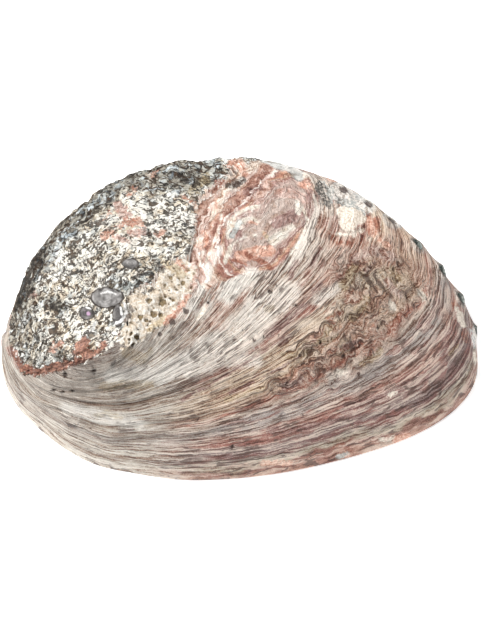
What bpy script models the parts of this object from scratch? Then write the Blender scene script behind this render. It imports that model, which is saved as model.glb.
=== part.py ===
"""A worn abalone shell, lying on its rim with the outside up.

One solid. The animal lays down shell along its lip, so every growth line is the present
lip made smaller and turned about the apex. The whole form follows from the lip outline,
one growth rate and one dome profile. Sizes are in millimetres until the mesh is made.
+X is the front end, +Y the side with the row of pores, +Z up, z = 0 the rim's plane.
"""

import math

import bmesh
import bpy
import numpy as np
from mathutils import Matrix, Vector, noise

MILLIMETRE = 0.001

# Growth
GROWTH_RATE = 0.590  # natural log of size gained in one radian of turning
APEX = (-46.42, -24.37)  # where the growth lines close, seen from above
LIP_OUTLINE = [  # direction from the apex in degrees, distance of the lip
    (-150, 35.1), (-125, 32.8), (-100, 34.0), (-80, 36.8), (-60, 44.9), (-42, 57.8),
    (-28, 75.4), (-18, 94.7), (-9, 118.3), (0, 136.5), (14, 135.0), (30, 117.7),
    (48, 99.5), (68, 84.8), (90, 71.7), (115, 61.1), (145, 52.7), (175, 45.0),
]

# Dome
DOME_HEIGHT = 53.8
DOME_FLATNESS = 2.5
RIM_STEEPNESS = 0.584
FORWARD_LIFT = 0.5 / 150
FAR_START = 8.0  # beyond this the pore side sinks and leans out
FAR_SPAN = 45.0
END_START = -52.0  # beyond this the back end sinks
END_SPAN = 38.0
SINK = 6.0
SINK_SLOPE = 1.64
FLARE = 12.0
FLARE_MIDDLE = math.radians(92)
FLARE_REACH = math.radians(72)

# Wall
WALL = 3.2
HOLLOW_CENTRE = (-5.0, 3.0, 0.0)
HALF_SIZE = (92.6, 63.6, 54.5)
SHELF_WIDTH = 5.5  # added to the wall along the flat inner lip on the pore side
SHELF_HEIGHT = 5.0
SHELF_MIDDLE = math.radians(115)
SHELF_REACH = math.radians(80)
SHELF_BLEND = math.radians(40)
RIM_CHAMFER = 0.5

# Pores, each given by the size of the shell when it was made, 1 being today's
PORE_DIRECTION = math.radians(7.7)
OPEN_PORES = [0.986, 0.953, 0.916, 0.874]
CLOSED_PORES = [0.830, 0.794, 0.757]
OLD_TUBERCLES = [0.733, 0.709, 0.677, 0.640, 0.606, 0.573, 0.541, 0.510, 0.487, 0.464, 0.434, 0.415]
PORE_LENGTH = 5.0
PORE_WIDTH = 3.5
PORE_TAPER = 0.8  # width of a pore at the cutter's inner end, 1 at its outer end
CUTTER_DEPTH = 15.0
PORE_INWARD = 2.7  # the pores open on the near side of their ridge
PORE_TILT = 0.55  # lean of a pore towards the near side, for each unit of depth
PORE_RIM_HEIGHT = 2.0
CLOSED_PORE_HEIGHT = 1.3
TUBERCLE_HEIGHT = 1.5
PORE_RIM_RADIUS = 3.4
PORE_RIDGE_HEIGHT = 0.9
PORE_RIDGE_RADIUS = 7.0
PORE_RIDGE_SIZES = np.linspace(0.41, 0.985, 70)

# Growth halts: the older layer ends in a ledge that stands above the younger one
HALTS = [(0.556, 0.5), (0.652, 0.6), (0.751, 0.9), (0.860, 0.5), (0.910, 0.6), (0.977, 0.6)]
HALT_FADE = 0.045
OPEN_SPACING = 80.0  # growth lines this far apart, for each unit of size, have their full relief

# Worn apex, seen from above: the edge of the broken outer layer, front side first
WORN_EDGE = [(0, 48), (-11, 27), (-15, 12), (-17, -10), (-23, -20), (-39, -33),
             (-54, -39), (-66, -41), (-75, -38), (-80, -31), (-86, -19)]
WORN_BACK = [(-110, -19), (-110, 90), (0, 90)]
WORN_SIZE = 0.77  # growth later than this is not worn, also behind
WORN_DEPTH = 0.7
LUMP_HEIGHT = 1.4
LUMP_SIZE = 9.0
FOLD_HEIGHT = 0.9
FOLD_STRETCH = 3.0
FOLD_COUNT = 17.0  # folds along the growth lines, for each unit of size

# Mesh
COLUMNS = 88
PORE_COLUMN_STEP = math.radians(2.0)
PORE_COLUMNS = 13
RIM_ROWS = [0.99975, 0.9965]
APEX_ROW_RATIO = 0.86
APEX_ROWS = 10
INNER_ROWS = [0.9965, 0.985, 0.96, 0.92, 0.87, 0.81, 0.74, 0.66, 0.57, 0.48, 0.39, 0.30, 0.21, 0.12]
LAST_TURNING_SIZE = 0.4
CUTTER_SIDES = 20


def periodic_spline(angles, values):
    """Return a smooth closed curve through the values, as a function of the angle."""
    count = len(angles)
    step = np.diff(np.append(angles, angles[0] + 2 * math.pi))
    matrix = np.zeros((count, count))
    target = np.zeros(count)
    for i in range(count):
        before = (i - 1) % count
        after = (i + 1) % count
        matrix[i, before] += step[before]
        matrix[i, i] += 2 * (step[before] + step[i])
        matrix[i, after] += step[i]
        rise = (values[after] - values[i]) / step[i]
        target[i] = 6 * (rise - (values[i] - values[before]) / step[before])
    bend = np.linalg.solve(matrix, target)

    def curve(angle):
        wrapped = (np.asarray(angle) - angles[0]) % (2 * math.pi) + angles[0]
        i = np.clip(np.searchsorted(angles, wrapped, side="right") - 1, 0, count - 1)
        after = (i + 1) % count
        done = wrapped - angles[i]
        left = step[i] - done
        bending = (bend[i] * left ** 3 + bend[after] * done ** 3) / (6 * step[i])
        start = (values[i] / step[i] - bend[i] * step[i] / 6) * left
        end = (values[after] / step[i] - bend[after] * step[i] / 6) * done
        return bending + start + end

    return curve


LOG_LIP_RADIUS = periodic_spline(
    np.radians([angle for angle, _ in LIP_OUTLINE]),
    np.log([radius for _, radius in LIP_OUTLINE]),
)


def turned(size):
    """How far the shell has turned since it had this size."""
    return -np.log(size) / GROWTH_RATE


def away_from(angle, middle):
    return np.abs((angle - middle + math.pi) % (2 * math.pi) - math.pi)


def smooth_point(size, direction):
    """Point of the smooth outside, on the growth line of one size, seen from the apex."""
    reach = size * np.exp(LOG_LIP_RADIUS(direction - turned(size)))
    x = APEX[0] + reach * np.cos(direction)
    y = APEX[1] + reach * np.sin(direction)
    lift = 1 + FORWARD_LIFT * reach * np.cos(direction)
    z = DOME_HEIGHT * (1 - size ** DOME_FLATNESS) ** RIM_STEEPNESS * lift
    height = z / DOME_HEIGHT
    far = np.maximum((y - FAR_START) / FAR_SPAN, 0) ** 2
    end = np.maximum((END_START - x) / END_SPAN, 0) ** 2
    sink = SINK * (far + end) * height
    flare = FLARE * smooth_step(1 - away_from(direction, FLARE_MIDDLE) / FLARE_REACH)
    y = y + sink + flare * (1 - height)
    return np.stack([x, y, z - SINK_SLOPE * sink], axis=-1)


def unit(vectors):
    return vectors / np.linalg.norm(vectors, axis=-1, keepdims=True)


def slopes(size, direction):
    """Change of the smooth outside per unit of size, and per radian along a growth line."""
    step = 0.0004
    size = np.clip(size, 0.02, 0.9992)
    across = smooth_point(size + step, direction) - smooth_point(size - step, direction)
    along = smooth_point(size, direction + step) - smooth_point(size, direction - step)
    return across / (2 * step), along / (2 * step)


def outward(size, direction):
    """Unit normal of the smooth outside."""
    across, along = slopes(size, direction)
    return unit(np.cross(across, along))


def crowding(size, direction):
    """Below 1 where the growth lines run so close together that the relief between them is low."""
    across, along = slopes(size, direction)
    spacing = np.linalg.norm(np.cross(across, unit(along)), axis=-1)
    return np.minimum(spacing / OPEN_SPACING, 1)


def smooth_step(value):
    value = np.clip(value, 0, 1)
    return value * value * (3 - 2 * value)


def pore_centre(size):
    return smooth_point(size, PORE_DIRECTION + turned(size))


def pore_axes(size):
    """Directions at a pore: along the row, towards the near side, and out of the surface."""
    direction = np.array([PORE_DIRECTION + turned(size)])
    depth = outward(np.array([size]), direction)[0]
    along = unit(pore_centre(size + 0.01) - pore_centre(size - 0.01))
    near = unit(np.cross(along, depth))
    return along, near, depth


def pore_spot(size):
    """Middle of a pore, a little to the near side of the ridge."""
    return pore_centre(size) + PORE_INWARD * pore_axes(size)[1]


def bump(points, centre, radius):
    distance = np.linalg.norm(points - centre, axis=-1)
    return np.exp(-((distance / radius) ** 2))


def pore_row(points):
    """Low ridge along the pores, with a raised rim or tubercle at each of them."""
    height = np.zeros(len(points))
    for ridge_size in PORE_RIDGE_SIZES:
        ridge = PORE_RIDGE_HEIGHT * bump(points, pore_centre(ridge_size), PORE_RIDGE_RADIUS)
        height = np.maximum(height, ridge)
    for sizes, rise in (
        (OPEN_PORES, PORE_RIM_HEIGHT),
        (CLOSED_PORES, CLOSED_PORE_HEIGHT),
        (OLD_TUBERCLES, TUBERCLE_HEIGHT),
    ):
        for pore_size in sizes:
            height += rise * bump(points, pore_spot(pore_size), PORE_RIM_RADIUS)
    return height


def growth_ledges(size):
    height = np.zeros_like(size)
    for halt, ledge in HALTS:
        older = halt - size
        height += np.where(older >= 0, ledge * np.exp(-older / HALT_FADE), 0)
    return height


def distance_inside(points, outline):
    """Distance to a closed outline seen from above, positive inside it."""
    corners = np.array(outline, float)
    nearest = np.full(len(points), np.inf)
    inside = np.zeros(len(points), bool)
    for start, end in zip(corners, np.roll(corners, -1, axis=0)):
        edge = end - start
        offset = points[:, :2] - start
        share = np.clip(offset @ edge / (edge @ edge), 0, 1)
        away = offset - share[:, None] * edge
        nearest = np.minimum(nearest, np.hypot(away[:, 0], away[:, 1]))
        crosses = (start[1] > points[:, 1]) != (end[1] > points[:, 1])
        height = np.where(crosses, points[:, 1] - start[1], 0)
        crossing_x = start[0] + edge[0] * height / (edge[1] if edge[1] else 1)
        inside ^= crosses & (points[:, 0] < crossing_x)
    return np.where(inside, nearest, -nearest)


def lumps(points):
    return np.array([noise.noise(Vector(point)) for point in points])


def growth_folds(size, direction):
    """Uneven folds that run along the growth lines."""
    lip_direction = direction - turned(size)
    around = FOLD_STRETCH * np.cos(lip_direction)
    across = FOLD_STRETCH * np.sin(lip_direction)
    return lumps(np.stack([around, across, FOLD_COUNT * size], axis=-1))


def relief(points, size, direction):
    """Height of the real surface above the smooth one."""
    worn = smooth_step(distance_inside(points, WORN_EDGE + WORN_BACK) / 2)
    worn *= smooth_step((WORN_SIZE - size) / 0.02)
    height = growth_ledges(size) + FOLD_HEIGHT * growth_folds(size, direction)
    height *= (1 - worn) * crowding(size, direction)
    height += worn * (LUMP_HEIGHT * lumps(points / LUMP_SIZE) - WORN_DEPTH)
    height += pore_row(points)
    return height * smooth_step((points[:, 2] - 1) / 7)


def outer_point(size, direction):
    points = smooth_point(size, direction)
    return points + outward(size, direction) * relief(points, size, direction)[:, None]


def inner_point(size, direction):
    """The hollow: the smooth outside drawn in by the wall, with a flat inner lip."""
    centre = np.array(HOLLOW_CENTRE)
    shrink = 1 - WALL / np.array(HALF_SIZE)
    points = centre + (smooth_point(size, direction) - centre) * shrink
    off_middle = away_from(direction - turned(size), SHELF_MIDDLE)
    shelf = SHELF_WIDTH * smooth_step((SHELF_REACH - off_middle) / SHELF_BLEND)
    shelf *= np.exp(-((points[:, 2] / SHELF_HEIGHT) ** 2))
    inward = centre - points
    inward[:, 2] = 0
    inward /= np.linalg.norm(inward, axis=1, keepdims=True) + 0.001
    return points + inward * shelf[:, None]


def lip_directions():
    """Directions of the mesh columns: even along the lip, closer across the pores."""
    fine = PORE_DIRECTION + PORE_COLUMN_STEP * (np.arange(PORE_COLUMNS) - PORE_COLUMNS // 2)
    start = fine[-1]
    end = fine[0] + 2 * math.pi
    dense = np.linspace(start, end, 2000)
    lip = smooth_point(np.ones_like(dense), dense)
    walked = np.append(0, np.cumsum(np.linalg.norm(np.diff(lip, axis=0), axis=1)))
    even = np.linspace(0, walked[-1], COLUMNS - PORE_COLUMNS + 2)[1:-1]
    return np.concatenate([fine, np.interp(even, walked, dense)])


def outer_sizes():
    """Rows of the outside: one at each pore, one between, then closing on the apex."""
    pores = OPEN_PORES + CLOSED_PORES + OLD_TUBERCLES
    between = [(a + b) / 2 for a, b in zip(pores, pores[1:])]
    sizes = sorted(pores + between, reverse=True)
    while len(sizes) < len(pores) + len(between) + APEX_ROWS:
        sizes.append(sizes[-1] * APEX_ROW_RATIO)
    return RIM_ROWS + sizes


def columns_at(size, count):
    """Columns kept by a row: all by the lip, then half of them each time it has shrunk."""
    kept = count
    for limit in (0.4, 0.14):
        if size < limit:
            kept = kept // 2
    return kept


def add_row(mesh, points):
    return [mesh.verts.new(Vector(point) * MILLIMETRE) for point in points]


def join_rows(mesh, first, second):
    """Faces between two closed rows, the second with as many points or half as many."""
    count = len(first)
    merge = count // len(second)
    for i in range(0, count, merge):
        a = first[i]
        c = first[(i + merge) % count]
        low = second[i // merge]
        high = second[(i // merge + 1) % len(second)]
        if merge == 1:
            mesh.faces.new((a, c, high, low))
        else:
            b = first[i + 1]
            mesh.faces.new((a, b, low))
            mesh.faces.new((b, high, low))
            mesh.faces.new((b, c, high))


def close_row(mesh, row, point):
    tip = mesh.verts.new(Vector(point) * MILLIMETRE)
    for a, b in zip(row, row[1:] + row[:1]):
        mesh.faces.new((a, b, tip))


def make_outside(mesh, rim, lip):
    """Rows from the rim up to the apex, turning with the growth until the last few."""
    previous = rim
    for size in outer_sizes():
        kept = columns_at(size, COLUMNS)
        directions = lip[:: COLUMNS // kept] + turned(max(size, LAST_TURNING_SIZE))
        row = add_row(mesh, outer_point(np.full(kept, size), directions))
        join_rows(mesh, previous, row)
        previous = row
    close_row(mesh, previous, outer_point(np.array([0.001]), np.array([0.0]))[0])


def make_inside(mesh, rim, lip):
    previous = rim
    for size in INNER_ROWS:
        kept = columns_at(size, COLUMNS if size > 0.95 else COLUMNS // 2)
        row = add_row(mesh, inner_point(np.full(kept, size), lip[:: COLUMNS // kept]))
        join_rows(mesh, previous, row)
        previous = row
    close_row(mesh, previous, inner_point(np.array([0.001]), np.array([0.0]))[0])


def make_rim(mesh, lip):
    """The flat rim: its outer and inner edges in the plane z = 0."""
    full_size = np.ones(len(lip))
    level = np.array([1.0, 1.0, 0.0])
    outer_row = add_row(mesh, smooth_point(full_size, lip) - outward(full_size, lip) * level * RIM_CHAMFER)
    inner_row = add_row(mesh, inner_point(full_size, lip))
    join_rows(mesh, outer_row, inner_row)
    return outer_row, inner_row


def make_material():
    material = bpy.data.materials.new("weathered_shell")
    material.use_nodes = True
    principled = material.node_tree.nodes["Principled BSDF"]
    principled.inputs["Base Color"].default_value = (0.50, 0.40, 0.34, 1)
    principled.inputs["Roughness"].default_value = 0.55
    principled.inputs["Metallic"].default_value = 0.0
    return material


def make_shell():
    mesh = bmesh.new()
    lip = lip_directions()
    outer_rim, inner_rim = make_rim(mesh, lip)
    make_outside(mesh, outer_rim, lip)
    make_inside(mesh, inner_rim, lip)
    bmesh.ops.recalc_face_normals(mesh, faces=mesh.faces)
    bmesh.ops.triangulate(mesh, faces=mesh.faces, quad_method="SHORT_EDGE")
    data = bpy.data.meshes.new("shell")
    mesh.to_mesh(data)
    mesh.free()
    data.shade_smooth()
    data.set_sharp_from_angle(angle=math.radians(45))
    shell = bpy.data.objects.new("shell", data)
    shell.data.materials.append(make_material())
    bpy.context.collection.objects.link(shell)
    return shell


def pore_frame(size):
    """Placement of a pore: its long axis along the row, its depth leaning to the near side."""
    along, near, depth = pore_axes(size)
    depth = Vector(unit(depth + PORE_TILT * near))
    side = depth.cross(Vector(along)).normalized()
    frame = Matrix((side.cross(depth), side, depth)).transposed().to_4x4()
    frame.translation = Vector(pore_spot(size)) * MILLIMETRE
    return frame


def cut_pore(shell, number, size):
    """An oval hole through the wall, drilled by a hidden cutter."""
    mesh = bmesh.new()
    inner = 0.5 * PORE_TAPER
    bmesh.ops.create_cone(mesh, cap_ends=True, segments=CUTTER_SIDES, radius1=inner, radius2=0.5, depth=1)
    hole = Vector((PORE_LENGTH, PORE_WIDTH, CUTTER_DEPTH)) * MILLIMETRE
    bmesh.ops.scale(mesh, vec=hole, verts=mesh.verts)
    data = bpy.data.meshes.new(f"pore_cutter_{number}")
    mesh.to_mesh(data)
    mesh.free()
    cutter = bpy.data.objects.new(f"pore_cutter_{number}", data)
    cutter.matrix_world = pore_frame(size)
    cutter.hide_render = True
    cutter.display_type = "WIRE"
    bpy.context.collection.objects.link(cutter)
    cut = shell.modifiers.new(f"pore_{number}", "BOOLEAN")
    cut.operation = "DIFFERENCE"
    cut.solver = "EXACT"
    cut.object = cutter


def main():
    for old in list(bpy.data.objects):
        bpy.data.objects.remove(old)
    shell = make_shell()
    for number, size in enumerate(OPEN_PORES, start=1):
        cut_pore(shell, number, size)


main()
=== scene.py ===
import functools
import itertools
import math
import types

import bmesh
import bpy
import numpy as np
from mathutils import Matrix, Vector, noise


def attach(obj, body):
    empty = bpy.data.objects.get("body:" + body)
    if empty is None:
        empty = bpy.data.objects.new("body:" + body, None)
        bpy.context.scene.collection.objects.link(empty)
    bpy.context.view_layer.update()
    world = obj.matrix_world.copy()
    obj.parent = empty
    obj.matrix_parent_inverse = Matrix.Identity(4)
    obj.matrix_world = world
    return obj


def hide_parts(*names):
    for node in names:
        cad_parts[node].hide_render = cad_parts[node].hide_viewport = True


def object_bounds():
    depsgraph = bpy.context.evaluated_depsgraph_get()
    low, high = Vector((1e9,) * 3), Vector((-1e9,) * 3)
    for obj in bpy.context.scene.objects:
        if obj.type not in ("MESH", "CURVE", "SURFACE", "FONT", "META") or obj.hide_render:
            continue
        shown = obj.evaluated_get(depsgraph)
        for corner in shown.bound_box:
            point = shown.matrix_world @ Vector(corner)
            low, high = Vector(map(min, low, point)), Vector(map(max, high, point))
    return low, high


# A worn abalone shell on a pale floor, in two pieces: the shell, and the crust of flakes over its
# worn part. Both are built by the rules of growth that shape the CAD solid: every growth line is
# the present lip made smaller and turned about the apex. Sizes are in millimetres until a mesh is
# made, in the frame of the CAD model. Marks are placed by where they are in the photograph, in its
# pixels, and lie on the surface that the camera sees there.

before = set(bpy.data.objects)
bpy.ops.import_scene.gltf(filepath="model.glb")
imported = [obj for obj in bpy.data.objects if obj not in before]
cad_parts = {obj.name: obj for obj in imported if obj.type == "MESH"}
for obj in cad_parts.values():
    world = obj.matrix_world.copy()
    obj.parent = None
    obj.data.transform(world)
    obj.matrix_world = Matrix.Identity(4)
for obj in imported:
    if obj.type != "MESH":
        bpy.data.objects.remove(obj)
CAD_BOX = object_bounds()
MILLIMETRE = 0.001

# Growth
GROWTH_RATE = 0.590
APEX = (-46.42, -24.37)
LIP_OUTLINE = [  # direction from the apex in degrees, distance of the lip
    (-150, 35.1), (-125, 32.8), (-100, 34.0), (-80, 36.8), (-60, 44.9), (-42, 57.8),
    (-28, 75.4), (-18, 94.7), (-9, 118.3), (0, 136.5), (14, 135.0), (30, 117.7),
    (48, 99.5), (68, 84.8), (90, 71.7), (115, 61.1), (145, 52.7), (175, 45.0),
]

# Dome
DOME_HEIGHT = 53.8
DOME_FLATNESS = 2.5
RIM_STEEPNESS = 0.584
FORWARD_LIFT = 0.5 / 150
FAR_START = 8.0
FAR_SPAN = 45.0
END_START = -52.0
END_SPAN = 38.0
SINK = 6.0
SINK_SLOPE = 1.64
FLARE = 12.0
FLARE_MIDDLE = math.radians(92)
FLARE_REACH = math.radians(72)

# Wall
WALL = 3.2
HOLLOW_CENTRE = (-5.0, 3.0, 0.0)
HALF_SIZE = (92.6, 63.6, 54.5)
SHELF_WIDTH = 5.5
SHELF_HEIGHT = 5.0
SHELF_MIDDLE = math.radians(115)
SHELF_REACH = math.radians(80)
SHELF_BLEND = math.radians(40)
RIM_CHAMFER = 0.5

# Pores, each given by the size of the shell when it was made, 1 being today's
PORE_DIRECTION = math.radians(7.7)
OPEN_PORES = [0.986, 0.953, 0.916, 0.874]
CLOSED_PORES = [0.830, 0.794, 0.757]
OLD_TUBERCLES = [0.733, 0.709, 0.677, 0.640, 0.606, 0.573, 0.541, 0.510, 0.487, 0.464, 0.434, 0.415]
PORE_LENGTH = 5.0
PORE_WIDTH = 3.5
PORE_TAPER = 0.8
CUTTER_DEPTH = 15.0
PORE_RIM_HEIGHT = 2.0
CLOSED_PORE_HEIGHT = 1.3
CLOSED_PORE_DEPTH = 1.1
TUBERCLE_HEIGHT = 1.5
PORE_RIM_RADIUS = 3.4
PORE_INWARD = 2.7  # the pores open on the near side of the ridge
PORE_TILT = 0.55
PORE_RIM_MIDDLE = 2.9
PORE_RIDGE_HEIGHT = 0.9
PORE_RIDGE_RADIUS = 7.0
PORE_RIDGE_SIZES = np.linspace(0.41, 0.985, 70)

# Relief
HALTS = [(0.556, 0.5), (0.652, 0.6), (0.751, 0.9), (0.860, 0.5), (0.910, 0.6), (0.977, 0.6)]
HALT_FADE = 0.045
OPEN_SPACING = 80.0
WORN_EDGE = [(0, 48), (-11, 27), (-15, 12), (-17, -10), (-23, -20), (-39, -33),
             (-54, -39), (-66, -41), (-75, -38), (-80, -31), (-86, -19)]
WORN_BACK = [(-110, -19), (-110, 90), (0, 90)]
WORN_SIZE = 0.77
HIDDEN_WORN_SIZE = 0.70  # of the crust, on the side that the photograph does not show
WORN_DEPTH = 0.7
LUMP_HEIGHT = 1.4
LUMP_SIZE = 9.0
FOLD_HEIGHT = 0.9
FOLD_STRETCH = 3.0
FOLD_COUNT = 17.0

# Camera, fitted to the photograph: lens distance and aim in millimetres
PHOTO_WIDTH = 481
PHOTO_HEIGHT = 640
VIEW_ELEVATION = math.radians(60.3)
VIEW_DISTANCE = 750.0
VIEW_AIM = (0.33, 6.41, -0.35)
FOCAL_PIXELS = 1897.5
SENSOR = 36.0
PIXELS_PER_MILLIMETRE = 2.53
EDGE_OF_VIEW = 0.03  # facing the camera less than this is not seen
VIEW_BLEND = 0.22  # and the view fades out over this much
TOWARDS_CAMERA = (0.0, -math.cos(VIEW_ELEVATION), math.sin(VIEW_ELEVATION))
CAMERA_UP = (0.0, math.sin(VIEW_ELEVATION), math.cos(VIEW_ELEVATION))

# Crust and lobe
CRUST_GRAINS = (math.radians(44), math.radians(-8))  # on the slope, and on the level part
CHIP_LENGTHS = ((4.6, 1.6, 2.4), (4.8, 1.5, 2.4))
FLAKE_SIZE = 1.5
CHIP_SIZE = 0.64
FLAKE_LENGTHS = ((4.2, 2.0, 2.2), (4.4, 1.8, 2.2))
FLAKE_SEEDS = (81, 91)
SMALL_FLAKES = 1.9  # times as fine as the flakes
GAP_DEPTH = 0.6
CRUST_LIFT = 0.15
CRUST_DIP = 1.1  # how deep the edge of the crust sinks into the body
TERRACE_WIDTH = 9.0
TERRACE_HEIGHT = 0.28
RIDGE_HEIGHTS = (2.2, 0.7)
CREASE_WIDTH = 0.12
LINE_HEIGHTS = (0.30, 0.20)
CHIP_HEIGHTS = (0.6, 0.8)

# Small pits, in millimetres
PIT_SPACING = 2.3
PIT_SHARES = (0.55, 0.35, 0.04)  # in the pitted zone, in the flecked one, elsewhere
SMALL_PIT_DEPTH = 0.65
PIT_BLUR = 0.16
CLOSED_PORE_RADIUS = 1.9

# Mesh
COLUMNS = 544
THINNING_SIZES = (0.3, 0.13, 0.05)  # rows below each of these have half as many points
INNER_COLUMNS = 136
INNER_THINNING_SIZES = (0.2,)
CRUST_COLUMNS = 960
CRUST_THINNING_SIZES = (0.33, 0.17, 0.07)
CRUST_START = 0.785
CRUST_STEP = 0.0044
CRUST_MARGIN = 3.5  # pixels of the sheet past the edge of the crust
LAST_TURNING_SIZE = 0.3
UNDER_CRUST = 1.3  # how far the body lies below the crust
SHALLOW_DIP = 1.0  # relief below the smooth outside is levelled off past this
DEEPEST_DIP = 2.0
LIP_TURN_RADIUS = 80.0  # a growth line's length on the lip is that of a circle this wide
RIM_FADE = (1, 7)  # height at which the relief starts, and over how much more it grows
OUT_OF_REACH = 12.0  # pixels, past which a distance to an outline counts no further
NO_MARK = -6.0

# Map of the surface
MAP_START = 0.02
MAP_WIDTH = 0.95
OUTSIDE_MAP = (0.30, 0.68)
INSIDE_MAP = (0.02, 0.24)
RIM_MAP = 0.27
PORE_MAP = (0.285, 0.008)
CRUST_MAP = (0.02, 0.96)


# Noise

NEIGHBOURS = list(itertools.product((-1, 0, 1), repeat=3))
GRADIENTS = np.array([step for step in NEIGHBOURS if np.abs(step).sum() == 2], float)
HASH_STEPS = np.array([73856093, 19349663, 83492791])


def hashed(cells, seed):
    mixed = (cells @ HASH_STEPS + seed * 7919) & 0x7FFFFFFF
    mixed = ((mixed ^ (mixed >> 13)) * 1274126177) & 0x7FFFFFFF
    return mixed ^ (mixed >> 11)


def perlin(points, seed):
    """Smooth seeded noise between about -1 and 1."""
    corner = np.floor(points).astype(np.int64)
    inside = points - corner
    fade = inside ** 3 * (inside * (inside * 6 - 15) + 10)
    total = np.zeros(len(points))
    for step in itertools.product((0, 1), repeat=3):
        gradient = GRADIENTS[hashed(corner + np.array(step), seed) % len(GRADIENTS)]
        weight = np.prod(np.where(step, fade, 1 - fade), axis=1)
        total += weight * np.einsum("ij,ij->i", gradient, inside - np.array(step))
    return total * 1.4


def nearest_seed(points, seed):
    """How far the nearest of scattered points is, one in each unit cell, and its own number."""
    corner = np.floor(points).astype(np.int64)
    nearest = np.full(len(points), np.inf)
    number = np.zeros(len(points))
    for step in NEIGHBOURS:
        cell = corner + np.array(step)
        place = np.stack([hashed(cell, seed + axis) % 1000 / 1000 for axis in range(3)], axis=1)
        away = np.linalg.norm(cell + place - points, axis=1)
        closer = away < nearest
        nearest = np.where(closer, away, nearest)
        number = np.where(closer, hashed(cell, seed + 5) % 1000 / 1000, number)
    return nearest, number


def warp(points, size, first_seed):
    """A vector of noise at each point."""
    return np.stack([perlin(points / size, first_seed + axis) for axis in range(3)], axis=1)


def lumps(points):
    return np.array([noise.noise(Vector(point)) for point in points])


# Growth model

def periodic_spline(angles, values):
    """Return a smooth closed curve through the values, as a function of the angle."""
    count = len(angles)
    step = np.diff(np.append(angles, angles[0] + 2 * math.pi))
    matrix = np.zeros((count, count))
    target = np.zeros(count)
    for i in range(count):
        before = (i - 1) % count
        after = (i + 1) % count
        matrix[i, before] += step[before]
        matrix[i, i] += 2 * (step[before] + step[i])
        matrix[i, after] += step[i]
        rise = (values[after] - values[i]) / step[i]
        target[i] = 6 * (rise - (values[i] - values[before]) / step[before])
    bend = np.linalg.solve(matrix, target)

    def curve(angle):
        wrapped = (np.asarray(angle) - angles[0]) % (2 * math.pi) + angles[0]
        i = np.clip(np.searchsorted(angles, wrapped, side="right") - 1, 0, count - 1)
        after = (i + 1) % count
        done = wrapped - angles[i]
        left = step[i] - done
        bending = (bend[i] * left ** 3 + bend[after] * done ** 3) / (6 * step[i])
        start = (values[i] / step[i] - bend[i] * step[i] / 6) * left
        end = (values[after] / step[i] - bend[after] * step[i] / 6) * done
        return bending + start + end

    return curve


LOG_LIP_RADIUS = periodic_spline(
    np.radians([angle for angle, _ in LIP_OUTLINE]),
    np.log([radius for _, radius in LIP_OUTLINE]),
)


def turned(size):
    """How far the shell has turned about the apex since it had this size."""
    return -np.log(size) / GROWTH_RATE


def away_from(angle, middle):
    return np.abs((angle - middle + math.pi) % (2 * math.pi) - math.pi)


def smooth_step(value):
    value = np.clip(value, 0, 1)
    return value * value * (3 - 2 * value)


def smooth_point(size, direction):
    """Point of the smooth outside, on the growth line of one size, seen from the apex."""
    reach = size * np.exp(LOG_LIP_RADIUS(direction - turned(size)))
    x = APEX[0] + reach * np.cos(direction)
    y = APEX[1] + reach * np.sin(direction)
    lift = 1 + FORWARD_LIFT * reach * np.cos(direction)
    z = DOME_HEIGHT * (1 - size ** DOME_FLATNESS) ** RIM_STEEPNESS * lift
    height = z / DOME_HEIGHT
    far = np.maximum((y - FAR_START) / FAR_SPAN, 0) ** 2
    end = np.maximum((END_START - x) / END_SPAN, 0) ** 2
    sink = SINK * (far + end) * height
    flare = FLARE * smooth_step(1 - away_from(direction, FLARE_MIDDLE) / FLARE_REACH)
    y = y + sink + flare * (1 - height)
    return np.stack([x, y, z - SINK_SLOPE * sink], axis=-1)


def unit(vectors):
    return vectors / np.linalg.norm(vectors, axis=-1, keepdims=True)


def slopes(size, direction):
    """Change of the smooth outside per unit of size, and per radian along a growth line."""
    step = 0.0004
    size = np.clip(size, 0.02, 0.9992)
    across = smooth_point(size + step, direction) - smooth_point(size - step, direction)
    along = smooth_point(size, direction + step) - smooth_point(size, direction - step)
    return across / (2 * step), along / (2 * step)


def outward(size, direction):
    across, along = slopes(size, direction)
    return unit(np.cross(across, along))


def crowding(size, direction):
    """Below 1 where the growth lines run so close together that the relief is low."""
    across, along = slopes(size, direction)
    spacing = np.linalg.norm(np.cross(across, unit(along)), axis=-1)
    return np.minimum(spacing / OPEN_SPACING, 1)


def pore_centre(size):
    return smooth_point(size, PORE_DIRECTION + turned(size))


def pore_axes(size):
    """Directions at a pore: along the row, towards the near side, and out of the surface."""
    direction = np.array([PORE_DIRECTION + turned(size)])
    depth = outward(np.array([size]), direction)[0]
    along = unit(pore_centre(size + 0.01) - pore_centre(size - 0.01))
    near = unit(np.cross(along, depth))
    return along, near, depth


def pore_spot(size):
    """Middle of a pore, a little to the near side of the ridge."""
    return pore_centre(size) + PORE_INWARD * pore_axes(size)[1]


def bump(points, centre, radius):
    """A round hill about a centre, 1 high."""
    distance = np.linalg.norm(points - centre, axis=-1)
    return np.exp(-((distance / radius) ** 2))


def pore_row(points):
    """Height of the ridge with the pores, and of the rims and tubercles on it."""
    height = np.zeros(len(points))
    for ridge_size in PORE_RIDGE_SIZES:
        ridge = PORE_RIDGE_HEIGHT * bump(points, pore_centre(ridge_size), PORE_RIDGE_RADIUS)
        height = np.maximum(height, ridge)
    for sizes, rise in (
        (OPEN_PORES, PORE_RIM_HEIGHT),
        (CLOSED_PORES, CLOSED_PORE_HEIGHT),
        (OLD_TUBERCLES, TUBERCLE_HEIGHT),
    ):
        for pore_size in sizes:
            height += rise * bump(points, pore_spot(pore_size), PORE_RIM_RADIUS)
    return height


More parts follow.
